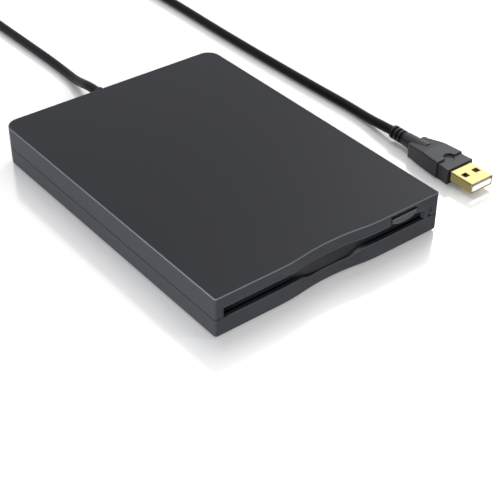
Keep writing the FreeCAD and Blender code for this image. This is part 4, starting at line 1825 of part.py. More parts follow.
def plug_mould():
    body = new_body("plug_mould")
    low, high = plug_lift, plug_z * 2 - plug_lift
    half, waist = plug_width / 2, plug_waist / 2
    step_y, rear = plug_body_front, plug_body_rear
    side_end = rear - plug_rear_round
    bend = bow(side_end - step_y, half - waist, plug_bulge)
    corner = plug_rear_round
    plan = [(plug_x - half, step_y, bend), (plug_x + half, step_y), (plug_x + waist, side_end, bend),
            (plug_x + waist - corner, rear, corner), (plug_x - waist + corner, rear),
            (plug_x - waist, side_end, corner)]
    extrude(body, "XY", low, high, [plan])
    slope_front = rear - plug_slope
    over = plug_slope_drop * (plug_slope + overrun) / plug_slope
    wedge = [(slope_front, high), (rear + overrun, high - over), (rear + overrun, high + overrun),
             (slope_front, high + overrun)]
    extrude(body, "YZ", plug_x - half - overrun, plug_x + half + overrun, [wedge], cut=True)
    round_edges(body, plug_edge, long_edge)
    first, last = half - collar_inset, half - collar_inset + collar_flare
    reach = step_y - collar_front
    hollow = bow(reach, collar_flare, collar_hollow)
    collar = [(plug_x - last, collar_front, -hollow), (plug_x + last, collar_front),
              (plug_x + first, step_y, -hollow), (plug_x - first, step_y)]
    collar_top = high - collar_step
    extrude(body, "XY", low, collar_top, [collar])
    extrude(body, "XY", collar_top, high, circles=[(plug_x, step_y, dimple_edge)], cut=True)
    extrude(body, "XY", collar_top - dimple_depth, collar_top, circles=[(plug_x, step_y, dimple_radius)],
            cut=True)
    extrude(body, "XZ", collar_front, collar_front + shell_root, [shell_outline(zero)], cut=True)
    neck = taper("Y", plug_x, plug_z, plug_neck_start, plug_neck_end, rear - plug_neck_root, rear + plug_neck)
    keep("plug_overmould", join(body, neck))


def long_edge(edge):
    """The long edges of the plug's body."""
    box = edge.BoundBox
    return box.XLength > 0.05 and box.YLength > 5 and box.ZLength < plug_slope_drop.value + 0.1


# ---------------------------------------------------------------- build

usb_post_y = usb_board_rear - usb_post_inset
button_top = roof - button_top_drop
lens_low = parting + lens_rise
front_board_top = pan_top + board_gauge
lamp_front = front_inside + lamp_back
socket_front = slider_front - socket_length
spring_z = case_floor + spring_height
rod_z = case_floor + rod_height
screw_z = case_floor + screw_height
head_hinge_z = case_floor + head_hinge_rise
gland_face = inner_back - gland_inner_gauge
collar_front = plug_tip + shell_reach

lower_cover()
upper_cover()
covers_fixings()
slot_door()
door_spring()
eject_button()
lamp()
chassis()
mechanism_screws()
top_shield()
disk_cradle()
shutter_lever()
eject_slider()
slider_springs()
spindle()
guide_rod()
head_carriage()
head_arm()
lead_screw()
stepper()
keep("board_chips", group(*(main_board() + usb_board())))
inner_leads()
flat_cable()
switches()
gland()
lead()
plug()

doc.recompute()
for thing in doc.Objects:
    if "Invalid" in thing.State or "Error" in thing.State:
        raise RuntimeError("{} failed: {}".format(thing.Name, thing.State))
os.makedirs("parts", exist_ok=True)
for piece in nodes:
    if piece.Shape.isNull() or not piece.Shape.isValid():
        raise RuntimeError("{} has no sound shape".format(piece.Label))
    print("{:22s} {:10.2f} mm3, solids {}".format(piece.Label, piece.Shape.Volume, len(piece.Shape.Solids)))
    piece.Shape.exportStep("parts/{}.step".format(piece.Label))
print(len(nodes), "nodes")
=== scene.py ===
"""Looks of an external floppy disk drive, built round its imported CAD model."""
import math

import bmesh
import bpy
from mathutils import Matrix, Vector


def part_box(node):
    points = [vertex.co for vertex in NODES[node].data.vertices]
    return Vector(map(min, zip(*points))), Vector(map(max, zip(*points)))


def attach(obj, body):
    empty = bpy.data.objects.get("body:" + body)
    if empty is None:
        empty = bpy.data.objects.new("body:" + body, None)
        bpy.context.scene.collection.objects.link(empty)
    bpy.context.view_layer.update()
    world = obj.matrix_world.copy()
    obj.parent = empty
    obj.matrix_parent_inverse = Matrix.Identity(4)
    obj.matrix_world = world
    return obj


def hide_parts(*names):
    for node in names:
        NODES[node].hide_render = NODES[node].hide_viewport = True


bl_info = {
    "name": "External disk drive",
    "version": (1, 0, 0),
    "blender": (4, 5, 0),
    "location": "3D View > Sidebar > Disk drive",
    "description": "Dresses the packed model of an external disk drive and its lead",
    "category": "Object",
}

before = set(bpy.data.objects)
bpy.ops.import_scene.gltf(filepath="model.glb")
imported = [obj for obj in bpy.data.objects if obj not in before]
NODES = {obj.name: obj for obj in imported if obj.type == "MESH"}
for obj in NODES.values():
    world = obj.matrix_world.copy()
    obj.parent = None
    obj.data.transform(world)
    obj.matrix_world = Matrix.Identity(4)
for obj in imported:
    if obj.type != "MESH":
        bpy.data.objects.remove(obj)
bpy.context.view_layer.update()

MM = 0.001


# ---------------------------------------------------------------- sizes and colours

class DriveSizes(bpy.types.PropertyGroup):
    lead_thickness: bpy.props.FloatProperty(
        name="Lead thickness", description="Diameter of the USB lead",
        default=0.0041, subtype="DISTANCE", unit="LENGTH")
    lead_length: bpy.props.FloatProperty(
        name="Lead length", description="Length of the USB lead from gland to plug",
        default=1.0, subtype="DISTANCE", unit="LENGTH")
    coil_radius: bpy.props.FloatProperty(
        name="Coil radius", description="Outermost turn of the stored coil",
        default=0.0253, subtype="DISTANCE", unit="LENGTH")
    grain: bpy.props.FloatProperty(
        name="Grain", description="Size of the moulded grain on the covers",
        default=0.00035, subtype="DISTANCE", unit="LENGTH")


def colour_of(name, description, red, green, blue):
    """A colour property with its default."""
    return bpy.props.FloatVectorProperty(
        name=name, description=description, subtype="COLOR", min=0, max=1, default=(red, green, blue))


class DriveColours(bpy.types.PropertyGroup):
    case: colour_of("Case", "Moulded covers", 0.0158, 0.0166, 0.0208)
    button: colour_of("Button", "Eject button", 0.0158, 0.0166, 0.0208)
    # Partly painted shade: the flap's black plastic, made darker still for the shade in the slot's recess
    flap: colour_of("Flap", "Door of the disk slot", 0.004, 0.0043, 0.0056)
    lead: colour_of("Lead", "Jacket of the lead and its strain reliefs", 0.0055, 0.0054, 0.0072)
    plug: colour_of("Plug", "Moulded plug body", 0.024, 0.025, 0.031)
    gold: colour_of("Gold", "Plating of the plug's shell and contacts", 0.30, 0.25, 0.105)
    tongue: colour_of("Tongue", "Plastic tongue in the plug", 0.86, 0.86, 0.85)
    lens: colour_of("Lens", "Smoked lens of the lamp", 0.018, 0.019, 0.022)
    rubber: colour_of("Rubber", "Feet", 0.020, 0.020, 0.021)
    sheet: colour_of("Sheet steel", "Galvanised sheet of the mechanism", 0.56, 0.57, 0.58)
    board: colour_of("Boards", "Solder mask of the circuit boards", 0.012, 0.085, 0.035)
    front_board: colour_of("Front board", "Black solder mask of the lamp's board", 0.004, 0.0045, 0.005)
    copper: colour_of("Copper", "Windings of the spindle motor", 0.62, 0.25, 0.10)
    # Painted highlight: a lighter colour mixed onto the edges of the covers and the button
    worn: colour_of("Worn plastic", "Outer corners of the covers and the button", 0.105, 0.11, 0.12)
    zinc: colour_of("Zinc", "Plated screws", 0.60, 0.60, 0.62)
    ground: colour_of("Ground steel", "Rods, pins, lead screw and spindle", 0.72, 0.72, 0.74)
    wire: colour_of("Spring wire", "Springs of the mechanism", 0.42, 0.42, 0.44)
    motor: colour_of("Motor steel", "Motor cores and the stepper motor", 0.42, 0.42, 0.43)
    brass: colour_of("Brass", "Sintered bearing of the spindle", 0.68, 0.50, 0.22)
    ferrite: colour_of("Ferrite", "Read and write heads", 0.09, 0.075, 0.065)
    moulding: colour_of("Black mouldings", "Chips, switches and head carriage", 0.016, 0.016, 0.017)
    socket: colour_of("Sockets", "Sockets of the boards", 0.66, 0.63, 0.55)
    plunger: colour_of("Plungers", "Plungers of the switches", 0.72, 0.71, 0.68)
    resin: colour_of("Lamp resin", "Green lamp behind the lens", 0.20, 0.42, 0.18)
    inner_lead: colour_of("Inner leads", "Jackets of the leads in the case", 0.36, 0.03, 0.025)
    ribbon: colour_of("Ribbon", "Flexible printed ribbons", 0.38, 0.16, 0.04)


# ---------------------------------------------------------------- node groups

def new_group(name, inputs, outputs):
    """A shader node group with named float or vector sockets."""
    group = bpy.data.node_groups.new(name, "ShaderNodeTree")
    for label, kind, value in inputs:
        socket = group.interface.new_socket(label, in_out="INPUT", socket_type=kind)
        if value is not None:
            socket.default_value = value
    for label, kind in outputs:
        group.interface.new_socket(label, in_out="OUTPUT", socket_type=kind)
    entry = group.nodes.new("NodeGroupInput")
    leave = group.nodes.new("NodeGroupOutput")
    return group, entry, leave


def add(tree, kind, **settings):
    """A node with its settings and the default values of its inputs."""
    node = tree.nodes.new(kind)
    for key, value in settings.items():
        if key in node.inputs:
            node.inputs[key].default_value = value
        else:
            setattr(node, key, value)
    return node


def maths(tree, operation, *values):
    """The result of a Math node fed by sockets or numbers."""
    node = tree.nodes.new("ShaderNodeMath")
    node.operation = operation
    for place, value in enumerate(values):
        if isinstance(value, (int, float)):
            node.inputs[place].default_value = value
        else:
            tree.links.new(value, node.inputs[place])
    return node.outputs[0]


def moulded_grain():
    """Fine spark-eroded grain with a faint unevenness under it."""
    group, entry, leave = new_group(
        "moulded_grain",
        [("Scale", "NodeSocketFloat", 2500.0), ("Unevenness", "NodeSocketFloat", 0.2)],
        [("Height", "NodeSocketFloat"), ("Mask", "NodeSocketFloat")])
    place = add(group, "ShaderNodeTexCoord")
    fine = add(group, "ShaderNodeTexNoise", Detail=3.0, Roughness=0.6)
    group.links.new(place.outputs["Object"], fine.inputs["Vector"])
    group.links.new(entry.outputs["Scale"], fine.inputs["Scale"])
    broad = add(group, "ShaderNodeTexNoise", Scale=45.0, Detail=2.0)
    group.links.new(place.outputs["Object"], broad.inputs["Vector"])
    waves = maths(group, "MULTIPLY", broad.outputs["Fac"], entry.outputs["Unevenness"])
    total = maths(group, "ADD", fine.outputs["Fac"], waves)
    group.links.new(total, leave.inputs["Height"])
    group.links.new(broad.outputs["Fac"], leave.inputs["Mask"])
    return group


# Most of a noise's values lie between these two
NOISE_LOW, NOISE_HIGH = 0.35, 0.65


def handling():
    """Faint smears and dust that change gloss and colour a little."""
    group, entry, leave = new_group(
        "handling",
        [("Low", "NodeSocketFloat", 0.4), ("High", "NodeSocketFloat", 0.5),
         ("Scale", "NodeSocketFloat", 30.0)],
        [("Roughness", "NodeSocketFloat"), ("Mask", "NodeSocketFloat")])
    place = add(group, "ShaderNodeTexCoord")
    smear = add(group, "ShaderNodeTexNoise", Detail=5.0, Roughness=0.55, Distortion=0.6)
    group.links.new(place.outputs["Object"], smear.inputs["Vector"])
    group.links.new(entry.outputs["Scale"], smear.inputs["Scale"])
    spread = add(group, "ShaderNodeMapRange", **{"From Min": NOISE_LOW, "From Max": NOISE_HIGH})
    group.links.new(smear.outputs["Fac"], spread.inputs["Value"])
    group.links.new(entry.outputs["Low"], spread.inputs["To Min"])
    group.links.new(entry.outputs["High"], spread.inputs["To Max"])
    group.links.new(spread.outputs["Result"], leave.inputs["Roughness"])
    group.links.new(smear.outputs["Fac"], leave.inputs["Mask"])
    return group


def tint():
    """A colour that varies by a small share along a mask."""
    group, entry, leave = new_group(
        "tint",
        [("Colour", "NodeSocketColor", (0.1, 0.1, 0.1, 1.0)), ("Mask", "NodeSocketFloat", 0.5),
         ("Share", "NodeSocketFloat", 0.15)],
        [("Colour", "NodeSocketColor")])
    away = maths(group, "SUBTRACT", entry.outputs["Mask"], 0.5)
    change = maths(group, "MULTIPLY", away, entry.outputs["Share"])
    factor = maths(group, "MULTIPLY_ADD", change, 2.0, 1.0)
    scaled = add(group, "ShaderNodeVectorMath", operation="SCALE")
    group.links.new(entry.outputs["Colour"], scaled.inputs["Vector"])
    group.links.new(factor, scaled.inputs["Scale"])
    group.links.new(scaled.outputs["Vector"], leave.inputs["Colour"])
    return group


def brushed():
    """Fine streaks along one axis, as rolling and drawing leave on steel."""
    group, entry, leave = new_group(
        "brushed",
        [("Stretch", "NodeSocketVector", (3000.0, 60.0, 3000.0))],
        [("Height", "NodeSocketFloat"), ("Mask", "NodeSocketFloat")])
    place = add(group, "ShaderNodeTexCoord")
    longer = add(group, "ShaderNodeVectorMath", operation="MULTIPLY")
    group.links.new(place.outputs["Object"], longer.inputs[0])
    group.links.new(entry.outputs["Stretch"], longer.inputs[1])
    streaks = add(group, "ShaderNodeTexNoise", Scale=1.0, Detail=3.0, Roughness=0.65)
    group.links.new(longer.outputs["Vector"], streaks.inputs["Vector"])
    group.links.new(streaks.outputs["Fac"], leave.inputs["Height"])
    group.links.new(streaks.outputs["Fac"], leave.inputs["Mask"])
    return group


def spangle():
    """The faint crystals of a galvanised sheet."""
    group, entry, leave = new_group(
        "spangle",
        [("Scale", "NodeSocketFloat", 260.0)],
        [("Height", "NodeSocketFloat"), ("Mask", "NodeSocketFloat")])
    place = add(group, "ShaderNodeTexCoord")
    cells = add(group, "ShaderNodeTexVoronoi", feature="F1")
    group.links.new(place.outputs["Object"], cells.inputs["Vector"])
    group.links.new(entry.outputs["Scale"], cells.inputs["Scale"])
    level = add(group, "ShaderNodeSeparateColor")
    group.links.new(cells.outputs["Color"], level.inputs["Color"])
    fine = add(group, "ShaderNodeTexNoise", Scale=2200.0, Detail=2.0)
    group.links.new(place.outputs["Object"], fine.inputs["Vector"])
    total = maths(group, "ADD", cells.outputs["Distance"], fine.outputs["Fac"])
    group.links.new(total, leave.inputs["Height"])
    group.links.new(level.outputs["Red"], leave.inputs["Mask"])
    return group


def tracks():
    """Printed tracks that turn by square corners, seen through the solder mask."""
    group, entry, leave = new_group(
        "tracks",
        [("Rings", "NodeSocketFloat", 9.0), ("Gap", "NodeSocketFloat", 0.62)],
        [("Height", "NodeSocketFloat"), ("Mask", "NodeSocketFloat")])
    place = add(group, "ShaderNodeTexCoord")
    steps = add(group, "ShaderNodeTexVoronoi", feature="F1", distance="CHEBYCHEV", Scale=220.0)
    group.links.new(place.outputs["Object"], steps.inputs["Vector"])
    rings = maths(group, "MULTIPLY", steps.outputs["Distance"], entry.outputs["Rings"])
    line = maths(group, "GREATER_THAN", maths(group, "FRACT", rings), entry.outputs["Gap"])
    group.links.new(line, leave.inputs["Mask"])
    group.links.new(line, leave.inputs["Height"])
    return group


# A point on the axis of the spindle
SPINDLE = (0.0, -0.021, 0.0)


def windings():
    """Close turns of enamelled wire round the spindle."""
    group, entry, leave = new_group(
        "windings",
        [("Scale", "NodeSocketFloat", 900.0)],
        [("Height", "NodeSocketFloat"), ("Mask", "NodeSocketFloat")])
    place = add(group, "ShaderNodeTexCoord")
    middle = add(group, "ShaderNodeVectorMath", operation="DISTANCE")
    middle.inputs[1].default_value = SPINDLE
    group.links.new(place.outputs["Object"], middle.inputs[0])
    phase = maths(group, "MULTIPLY", middle.outputs["Value"], entry.outputs["Scale"])
    turns = maths(group, "MULTIPLY_ADD", maths(group, "SINE", phase), 0.5, 0.5)
    group.links.new(turns, leave.inputs["Height"])
    group.links.new(turns, leave.inputs["Mask"])
    return group


# Height of the covers' joint and how far it reaches, then the space of the slot's lip
JOINT_HEIGHT, JOINT_REACH = 0.00816, 0.0008
LIP_BACK, LIP_HALF = -0.0665, 0.0468
# Brings a corner's mask to one where it leans by 45 degrees
FULL_SLANT = 4.0


def corners():
    """Softly rounded corners, with a painted highlight: a lighter colour along the level ones.

    The joint of the covers lies deeper and gets no painted highlight, apart from the disk slot's lip.
    """
    group, entry, leave = new_group(
        "corners",
        [("Radius", "NodeSocketFloat", 0.0003), ("Colour", "NodeSocketColor", (0.5, 0.5, 0.5, 1)),
         ("Painted highlight", "NodeSocketColor", (0.5, 0.5, 0.5, 1)), ("Joint", "NodeSocketFloat", -1.0)],
        [("Colour", "NodeSocketColor"), ("Normal", "NodeSocketVector")])
    place = add(group, "ShaderNodeTexCoord")
    spot = add(group, "ShaderNodeSeparateXYZ")
    group.links.new(place.outputs["Object"], spot.inputs[0])
    height = maths(group, "SUBTRACT", spot.outputs["Z"], entry.outputs["Joint"])
    beyond = maths(group, "GREATER_THAN", maths(group, "ABSOLUTE", height), JOINT_REACH)
    ahead = maths(group, "LESS_THAN", spot.outputs["Y"], LIP_BACK)
    within = maths(group, "LESS_THAN", maths(group, "ABSOLUTE", spot.outputs["X"]), LIP_HALF)
    highlight_region = maths(group, "MAXIMUM", beyond, maths(group, "MINIMUM", ahead, within))
    soft = add(group, "ShaderNodeBevel", samples=6)
    group.links.new(entry.outputs["Radius"], soft.inputs["Radius"])
    split = add(group, "ShaderNodeSeparateXYZ")
    group.links.new(soft.outputs["Normal"], split.inputs[0])
    upright = maths(group, "MULTIPLY", split.outputs["Z"], split.outputs["Z"])
    slant = maths(group, "MULTIPLY", upright, maths(group, "SUBTRACT", 1.0, upright))
    blend = add(group, "ShaderNodeMix", data_type="RGBA", clamp_factor=True)
    # Painted highlight: how much of the lighter colour the leaning edges get
    worn = maths(group, "MULTIPLY", maths(group, "MULTIPLY", slant, FULL_SLANT), highlight_region)
    group.links.new(worn, blend.inputs["Factor"])
    group.links.new(entry.outputs["Colour"], blend.inputs["A"])
    group.links.new(entry.outputs["Painted highlight"], blend.inputs["B"])
    group.links.new(blend.outputs["Result"], leave.inputs["Colour"])
    group.links.new(soft.outputs["Normal"], leave.inputs["Normal"])
    return group


GROUPS = {}


def placed(tree, maker):
    """The named effect as a node in a material's tree, built once."""
    if maker.__name__ not in GROUPS:
        GROUPS[maker.__name__] = maker()
    node = tree.nodes.new("ShaderNodeGroup")
    node.node_tree = GROUPS[maker.__name__]
    return node


# ---------------------------------------------------------------- materials

def surface(name, colour, roughness, texture=moulded_grain, settings=(), depth=0.006, share=0.12,
            smear=30.0, marked=None, edge=0.0, worn=None, joint=-1.0, **fixed):
    """A finish with a textured, unevenly glossy surface; fixed sets sockets of the shader.

    The roughness runs between two values. The colour varies by its share, along the texture where
    marked is "texture" and along the handling marks otherwise. The depth of the texture and the edge
    that softens the corners are in millimetres. worn is the corners' painted highlight colour, away from a
    joint's height.
    """
    material = bpy.data.materials.new(name)
    material.use_nodes = True
    tree = material.node_tree
    shader = tree.nodes["Principled BSDF"]
    for key, value in fixed.items():
        shader.inputs[key.replace("_", " ")].default_value = value
    marks = placed(tree, handling)
    marks.inputs["Low"].default_value, marks.inputs["High"].default_value = roughness
    marks.inputs["Scale"].default_value = smear
    tree.links.new(marks.outputs["Roughness"], shader.inputs["Roughness"])
    relief = placed(tree, texture)
    for key, value in settings:
        relief.inputs[key].default_value = value
    shade = placed(tree, tint)
    shade.inputs["Colour"].default_value = (*colour, 1.0)
    shade.inputs["Share"].default_value = share
    source = relief if marked == "texture" else marks
    tree.links.new(source.outputs["Mask"], shade.inputs["Mask"])
    coloured = shade
    bump = add(tree, "ShaderNodeBump", Strength=1.0, Distance=depth * MM)
    tree.links.new(relief.outputs["Height"], bump.inputs["Height"])
    if edge:
        coloured = placed(tree, corners)
        coloured.inputs["Radius"].default_value = edge * MM
        coloured.inputs["Painted highlight"].default_value = (*(worn or colour), 1.0)
        coloured.inputs["Joint"].default_value = joint
        tree.links.new(shade.outputs["Colour"], coloured.inputs["Colour"])
        tree.links.new(coloured.outputs["Normal"], bump.inputs["Normal"])
    tree.links.new(coloured.outputs["Colour"], shader.inputs["Base Color"])
    tree.links.new(bump.outputs["Normal"], shader.inputs["Normal"])
    return material


def plastic(name, colour, roughness, grain, shine, **more):
    """Moulded plastic with a fine grain and a low shine."""
    return surface(name, colour, roughness, settings=[("Scale", grain)], Specular_IOR_Level=shine, **more)


def metal(name, colour, roughness, stretch, **more):
    """Bare metal with drawn streaks along one axis."""
    return surface(name, colour, roughness, texture=brushed, settings=[("Stretch", stretch)],
                   marked="texture", Metallic=1.0, **more)


def finish_of(material, *names):
    """Give CAD nodes their finish."""
    for name in names:
        mesh = NODES[name].data
        mesh.materials.clear()
        mesh.materials.append(material)


# ---------------------------------------------------------------- lead

# Points of the lead, in metres: out of the gland and round to the coil, then from the coil to the plug
LEAD_ROUTE = [
    (0, 0.0835, 0.00816), (0.0002, 0.091, 0.0077), (0.0013, 0.099, 0.0053), (0.0028, 0.108, 0.0027),
    (0.0037, 0.118, 0.00205), (0.0039, 0.134, 0.00205), (0.0035, 0.153, 0.00205),
    (0.003, 0.1755, 0.00205), (0.0026, 0.196, 0.00205), (0.0036, 0.213, 0.00205),
    (0.0084, 0.229, 0.00205), (0.018, 0.2425, 0.00205), (0.0312, 0.2545, 0.00205),
    (0.0467, 0.2632, 0.00205),
]
TAIL_ROUTE = [
    (0.0815, 0.24, 0.00615), (0.0819, 0.225, 0.0057), (0.0824, 0.212, 0.0034), (0.0832, 0.198, 0.00205),
    (0.0842, 0.182, 0.00205), (0.0848, 0.166, 0.00205), (0.0851, 0.148, 0.00205),
    (0.085, 0.13, 0.00205), (0.0847, 0.112, 0.00205), (0.0847, 0.094, 0.00205),
    (0.0849, 0.076, 0.00205), (0.0852, 0.058, 0.00205), (0.0856, 0.04, 0.00205),
    (0.0862, 0.024, 0.00205), (0.0864, 0.012, 0.00205), (0.0858, 0.0015, 0.0024),
    (0.08515, -0.0065, 0.0035), (0.085, -0.014, 0.004),
]
COIL_MIDDLE = Vector((0.0575, 0.24, 0))
COIL_START, COIL_TURNS = 115, 4
LOWER_STEPS, CLIMB_STEPS, UPPER_STEPS = 25, 7, 19


def coil_points(thickness, outer):
    """Two layers of neat turns, wound inwards on the floor and outwards on top of them.

    The points lie outside the turns, since each span of the spline cuts its corner by the swell.
    """
    points = []
    steps = LOWER_STEPS + CLIMB_STEPS + UPPER_STEPS
    turn = math.radians((360 * COIL_TURNS + COIL_START) / (steps + 1))
    swell = 1 / (0.75 + 0.25 * math.cos(turn))
    pace = thickness * turn / math.tau
    for step in range(1, steps + 1):
        inwards = min(step, LOWER_STEPS)
        outwards = max(step - LOWER_STEPS - CLIMB_STEPS, 0)
        climb = min(max(step - LOWER_STEPS, 0) / CLIMB_STEPS, 1)
        radius = (outer - pace * inwards + pace * outwards) * swell
        angle = math.radians(COIL_START) - turn * step
        ease = climb * climb * (3 - 2 * climb)
        height = thickness * (0.5 + ease)
        points.append((COIL_MIDDLE.x + radius * math.cos(angle),
                       COIL_MIDDLE.y + radius * math.sin(angle), height))
    return points


class DRIVE_OT_lead(bpy.types.Operator):
    """Lay the USB lead from its gland through the stored coil to the plug"""
    bl_idname = "drive.lead"
    bl_label = "Lead"

    def execute(self, context):
        sizes, colours = context.scene.drive_sizes, context.scene.drive_colours
        points = LEAD_ROUTE + coil_points(sizes.lead_thickness, sizes.coil_radius) + TAIL_ROUTE
        line = bpy.data.curves.new("usb_lead", "CURVE")
        line.dimensions = "3D"
        spline = line.splines.new("NURBS")
        spline.points.add(len(points) - 1)
        for point, place in zip(spline.points, points):
            point.co = (*place, 1.0)
        spline.order_u = 3
        spline.use_endpoint_u = True
        spline.resolution_u = 12
        line.bevel_depth = sizes.lead_thickness / 2
        line.bevel_resolution = 6
        line.use_fill_caps = True
        lead = bpy.data.objects.new("usb_lead", line)
        context.scene.collection.objects.link(lead)
        line.materials.append(plastic("lead_jacket", colours.lead, roughness=(0.34, 0.46), grain=1800.0,
                                      shine=0.08, depth=0.01, smear=60.0))
        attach(lead, "case")
        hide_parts("cord_lead", "cord_coil", "cord_tail")
        return {"FINISHED"}


# ---------------------------------------------------------------- contacts

# Middle of each contact beside the plug's axis, then the profile of one contact along the plug:
# distance behind the tongue's front and height above the channel's floor
CONTACT_PLACES = (-0.0035, -0.001, 0.001, 0.0035)
CONTACT_PROFILE = ((0.00115, 0.00002), (0.0014, 0.0002), (0.0019, 0.00028), (0.0024, 0.00021),
                   (0.0040, 0.00018), (0.0070, 0.00017), (0.0087, 0.00016))
CONTACT_HALF, CONTACT_GAUGE, CHANNEL_DEPTH = 0.00042, 0.00012, 0.0002
CONTACT_ROUNDING = 0.00004


class DRIVE_OT_contacts(bpy.types.Operator):
    """Lay the four sprung contacts into the channels of the plug's tongue"""
    bl_idname = "drive.contacts"
    bl_label = "Contacts"

    def execute(self, context):
        low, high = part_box("usb_insert")
        middle, floor = (low[0] + high[0]) / 2, high[2] - CHANNEL_DEPTH
        shape = bmesh.new()
        for across in CONTACT_PLACES:
            rows = []
            for along, height in CONTACT_PROFILE:
                y, z = low[1] + along, floor + height
                left, right = middle + across - CONTACT_HALF, middle + across + CONTACT_HALF
                rows.append([shape.verts.new(place) for place in
                             ((left, y, z - CONTACT_GAUGE), (right, y, z - CONTACT_GAUGE),
                              (right, y, z), (left, y, z))])
            for first, second in zip(rows, rows[1:]):
                for edge in range(4):
                    following = (edge + 1) % 4
                    shape.faces.new((first[edge], first[following], second[following], second[edge]))
            shape.faces.new(rows[0][::-1])
            shape.faces.new(rows[-1])
        bmesh.ops.recalc_face_normals(shape, faces=shape.faces)
        mesh = bpy.data.meshes.new("plug_contacts")
        shape.to_mesh(mesh)
        shape.free()
        contacts = bpy.data.objects.new("plug_contacts", mesh)
        context.scene.collection.objects.link(contacts)
        rounding = contacts.modifiers.new("rounding", "BEVEL")
        rounding.width, rounding.segments = CONTACT_ROUNDING, 2
        mesh.materials.append(metal("contact_gold", context.scene.drive_colours.gold,
                                    roughness=(0.16, 0.26), stretch=(2600.0, 120.0, 2600.0),
                                    depth=0.001, share=0.08))
        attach(contacts, "case")
        return {"FINISHED"}


# ---------------------------------------------------------------- finishes of the CAD nodes

class DRIVE_OT_case(bpy.types.Operator):
    """Give the case, the button and the plug their moulded and plated finishes"""
    bl_idname = "drive.case"
    bl_label = "Case and plug"

    def execute(self, context):
        grain, colours = 1 / context.scene.drive_sizes.grain, context.scene.drive_colours
        # The covers and the button get a painted highlight along their edges
        finish_of(plastic("case_plastic", colours.case, roughness=(0.38, 0.41), grain=grain, shine=0.10,
                          share=0.04, smear=12.0, edge=0.35, worn=colours.worn, joint=JOINT_HEIGHT),
                  "bottom_cover", "top_cover")
        finish_of(plastic("button_plastic", colours.button, roughness=(0.34, 0.40), grain=grain * 1.3,
                          shine=0.28, share=0.05, edge=0.25, worn=colours.worn),
                  "eject_button")
        # The flap's colour is its black plastic, darkened further as painted shade of the slot's recess
        finish_of(plastic("flap_plastic", colours.flap, roughness=(0.38, 0.46), grain=grain, shine=0.12,
                          share=0.06),
                  "slot_door")
        finish_of(plastic("smoked_lens", colours.lens, roughness=(0.18, 0.26), grain=700.0, shine=0.12,
                          depth=0.001, edge=0.15),
                  "led_lens")
        finish_of(plastic("foot_rubber", colours.rubber, roughness=(0.70, 0.82), grain=1400.0, shine=0.2,
                          depth=0.02),
                  "feet")
        finish_of(plastic("relief_plastic", colours.lead, roughness=(0.34, 0.44), grain=1700.0,
                          shine=0.25, depth=0.008, edge=0.15),
                  "cord_gland", "plug_strain_relief", "cord_lead", "cord_coil", "cord_tail")
        finish_of(plastic("plug_plastic", colours.plug, roughness=(0.36, 0.42), grain=2200.0, shine=0.25,
                          share=0.06, edge=0.25),
                  "plug_overmould")
        finish_of(metal("plug_gold", colours.gold, roughness=(0.14, 0.24), stretch=(120.0, 2400.0, 2400.0),
                        depth=0.0006, share=0.05, edge=0.2),
                  "usb_shell")
        finish_of(plastic("tongue_plastic", colours.tongue, roughness=(0.24, 0.34), grain=1200.0,
                          shine=0.5, depth=0.002, share=0.04),
                  "usb_insert")
        return {"FINISHED"}


class DRIVE_OT_mechanism(bpy.types.Operator):
    """Give the sheet, rods, motors and springs inside the case their metal finishes"""
    bl_idname = "drive.mechanism"
    bl_label = "Mechanism"

    def execute(self, context):
        colours = context.scene.drive_colours
        finish_of(surface("galvanised_sheet", colours.sheet, roughness=(0.30, 0.42), texture=spangle,
                          depth=0.002, share=0.16, marked="texture", Metallic=1.0),
                  "chassis", "top_shield", "rod_clamps", "motor_bracket", "screw_bearing", "eject_slider",
                  "disk_cradle", "shutter_lever")
        finish_of(metal("zinc_screws", colours.zinc, roughness=(0.28, 0.40),
                        stretch=(1500.0, 1500.0, 300.0), depth=0.004, share=0.12),
                  "case_screws", "chassis_screws", "mechanism_screws", "board_screws")
        finish_of(metal("ground_steel", colours.ground, roughness=(0.16, 0.26),
                        stretch=(2500.0, 180.0, 2500.0), depth=0.001, share=0.08),
                  "guide_rod", "carriage_needle", "head_hinge_pin", "lead_screw", "rotor_cup",
                  "disk_table", "drive_pin")
        finish_of(metal("spring_wire", colours.wire, roughness=(0.26, 0.38),
                        stretch=(1800.0, 200.0, 1800.0), depth=0.002, share=0.14),
                  "door_spring", "slider_springs", "lever_spring", "head_spring")
        finish_of(metal("motor_steel", colours.motor, roughness=(0.34, 0.48),
                        stretch=(900.0, 900.0, 2600.0), depth=0.004, share=0.2),
                  "stator_core", "stepper_motor", "rotor_magnet")
        finish_of(metal("sintered_brass", colours.brass, roughness=(0.34, 0.46),
                        stretch=(1600.0, 1600.0, 1600.0), depth=0.004, share=0.16),
                  "spindle_bearing")
        finish_of(surface("enamelled_wire", colours.copper, roughness=(0.22, 0.34), texture=windings,
                          settings=[("Scale", 30000.0)], depth=0.05, share=0.3, marked="texture",
                          Metallic=0.8),
                  "stator_coils")
        finish_of(plastic("ferrite_head", colours.ferrite, roughness=(0.14, 0.24), grain=900.0, shine=0.5,
                          depth=0.002),
                  "lower_head", "upper_head")
        return {"FINISHED"}


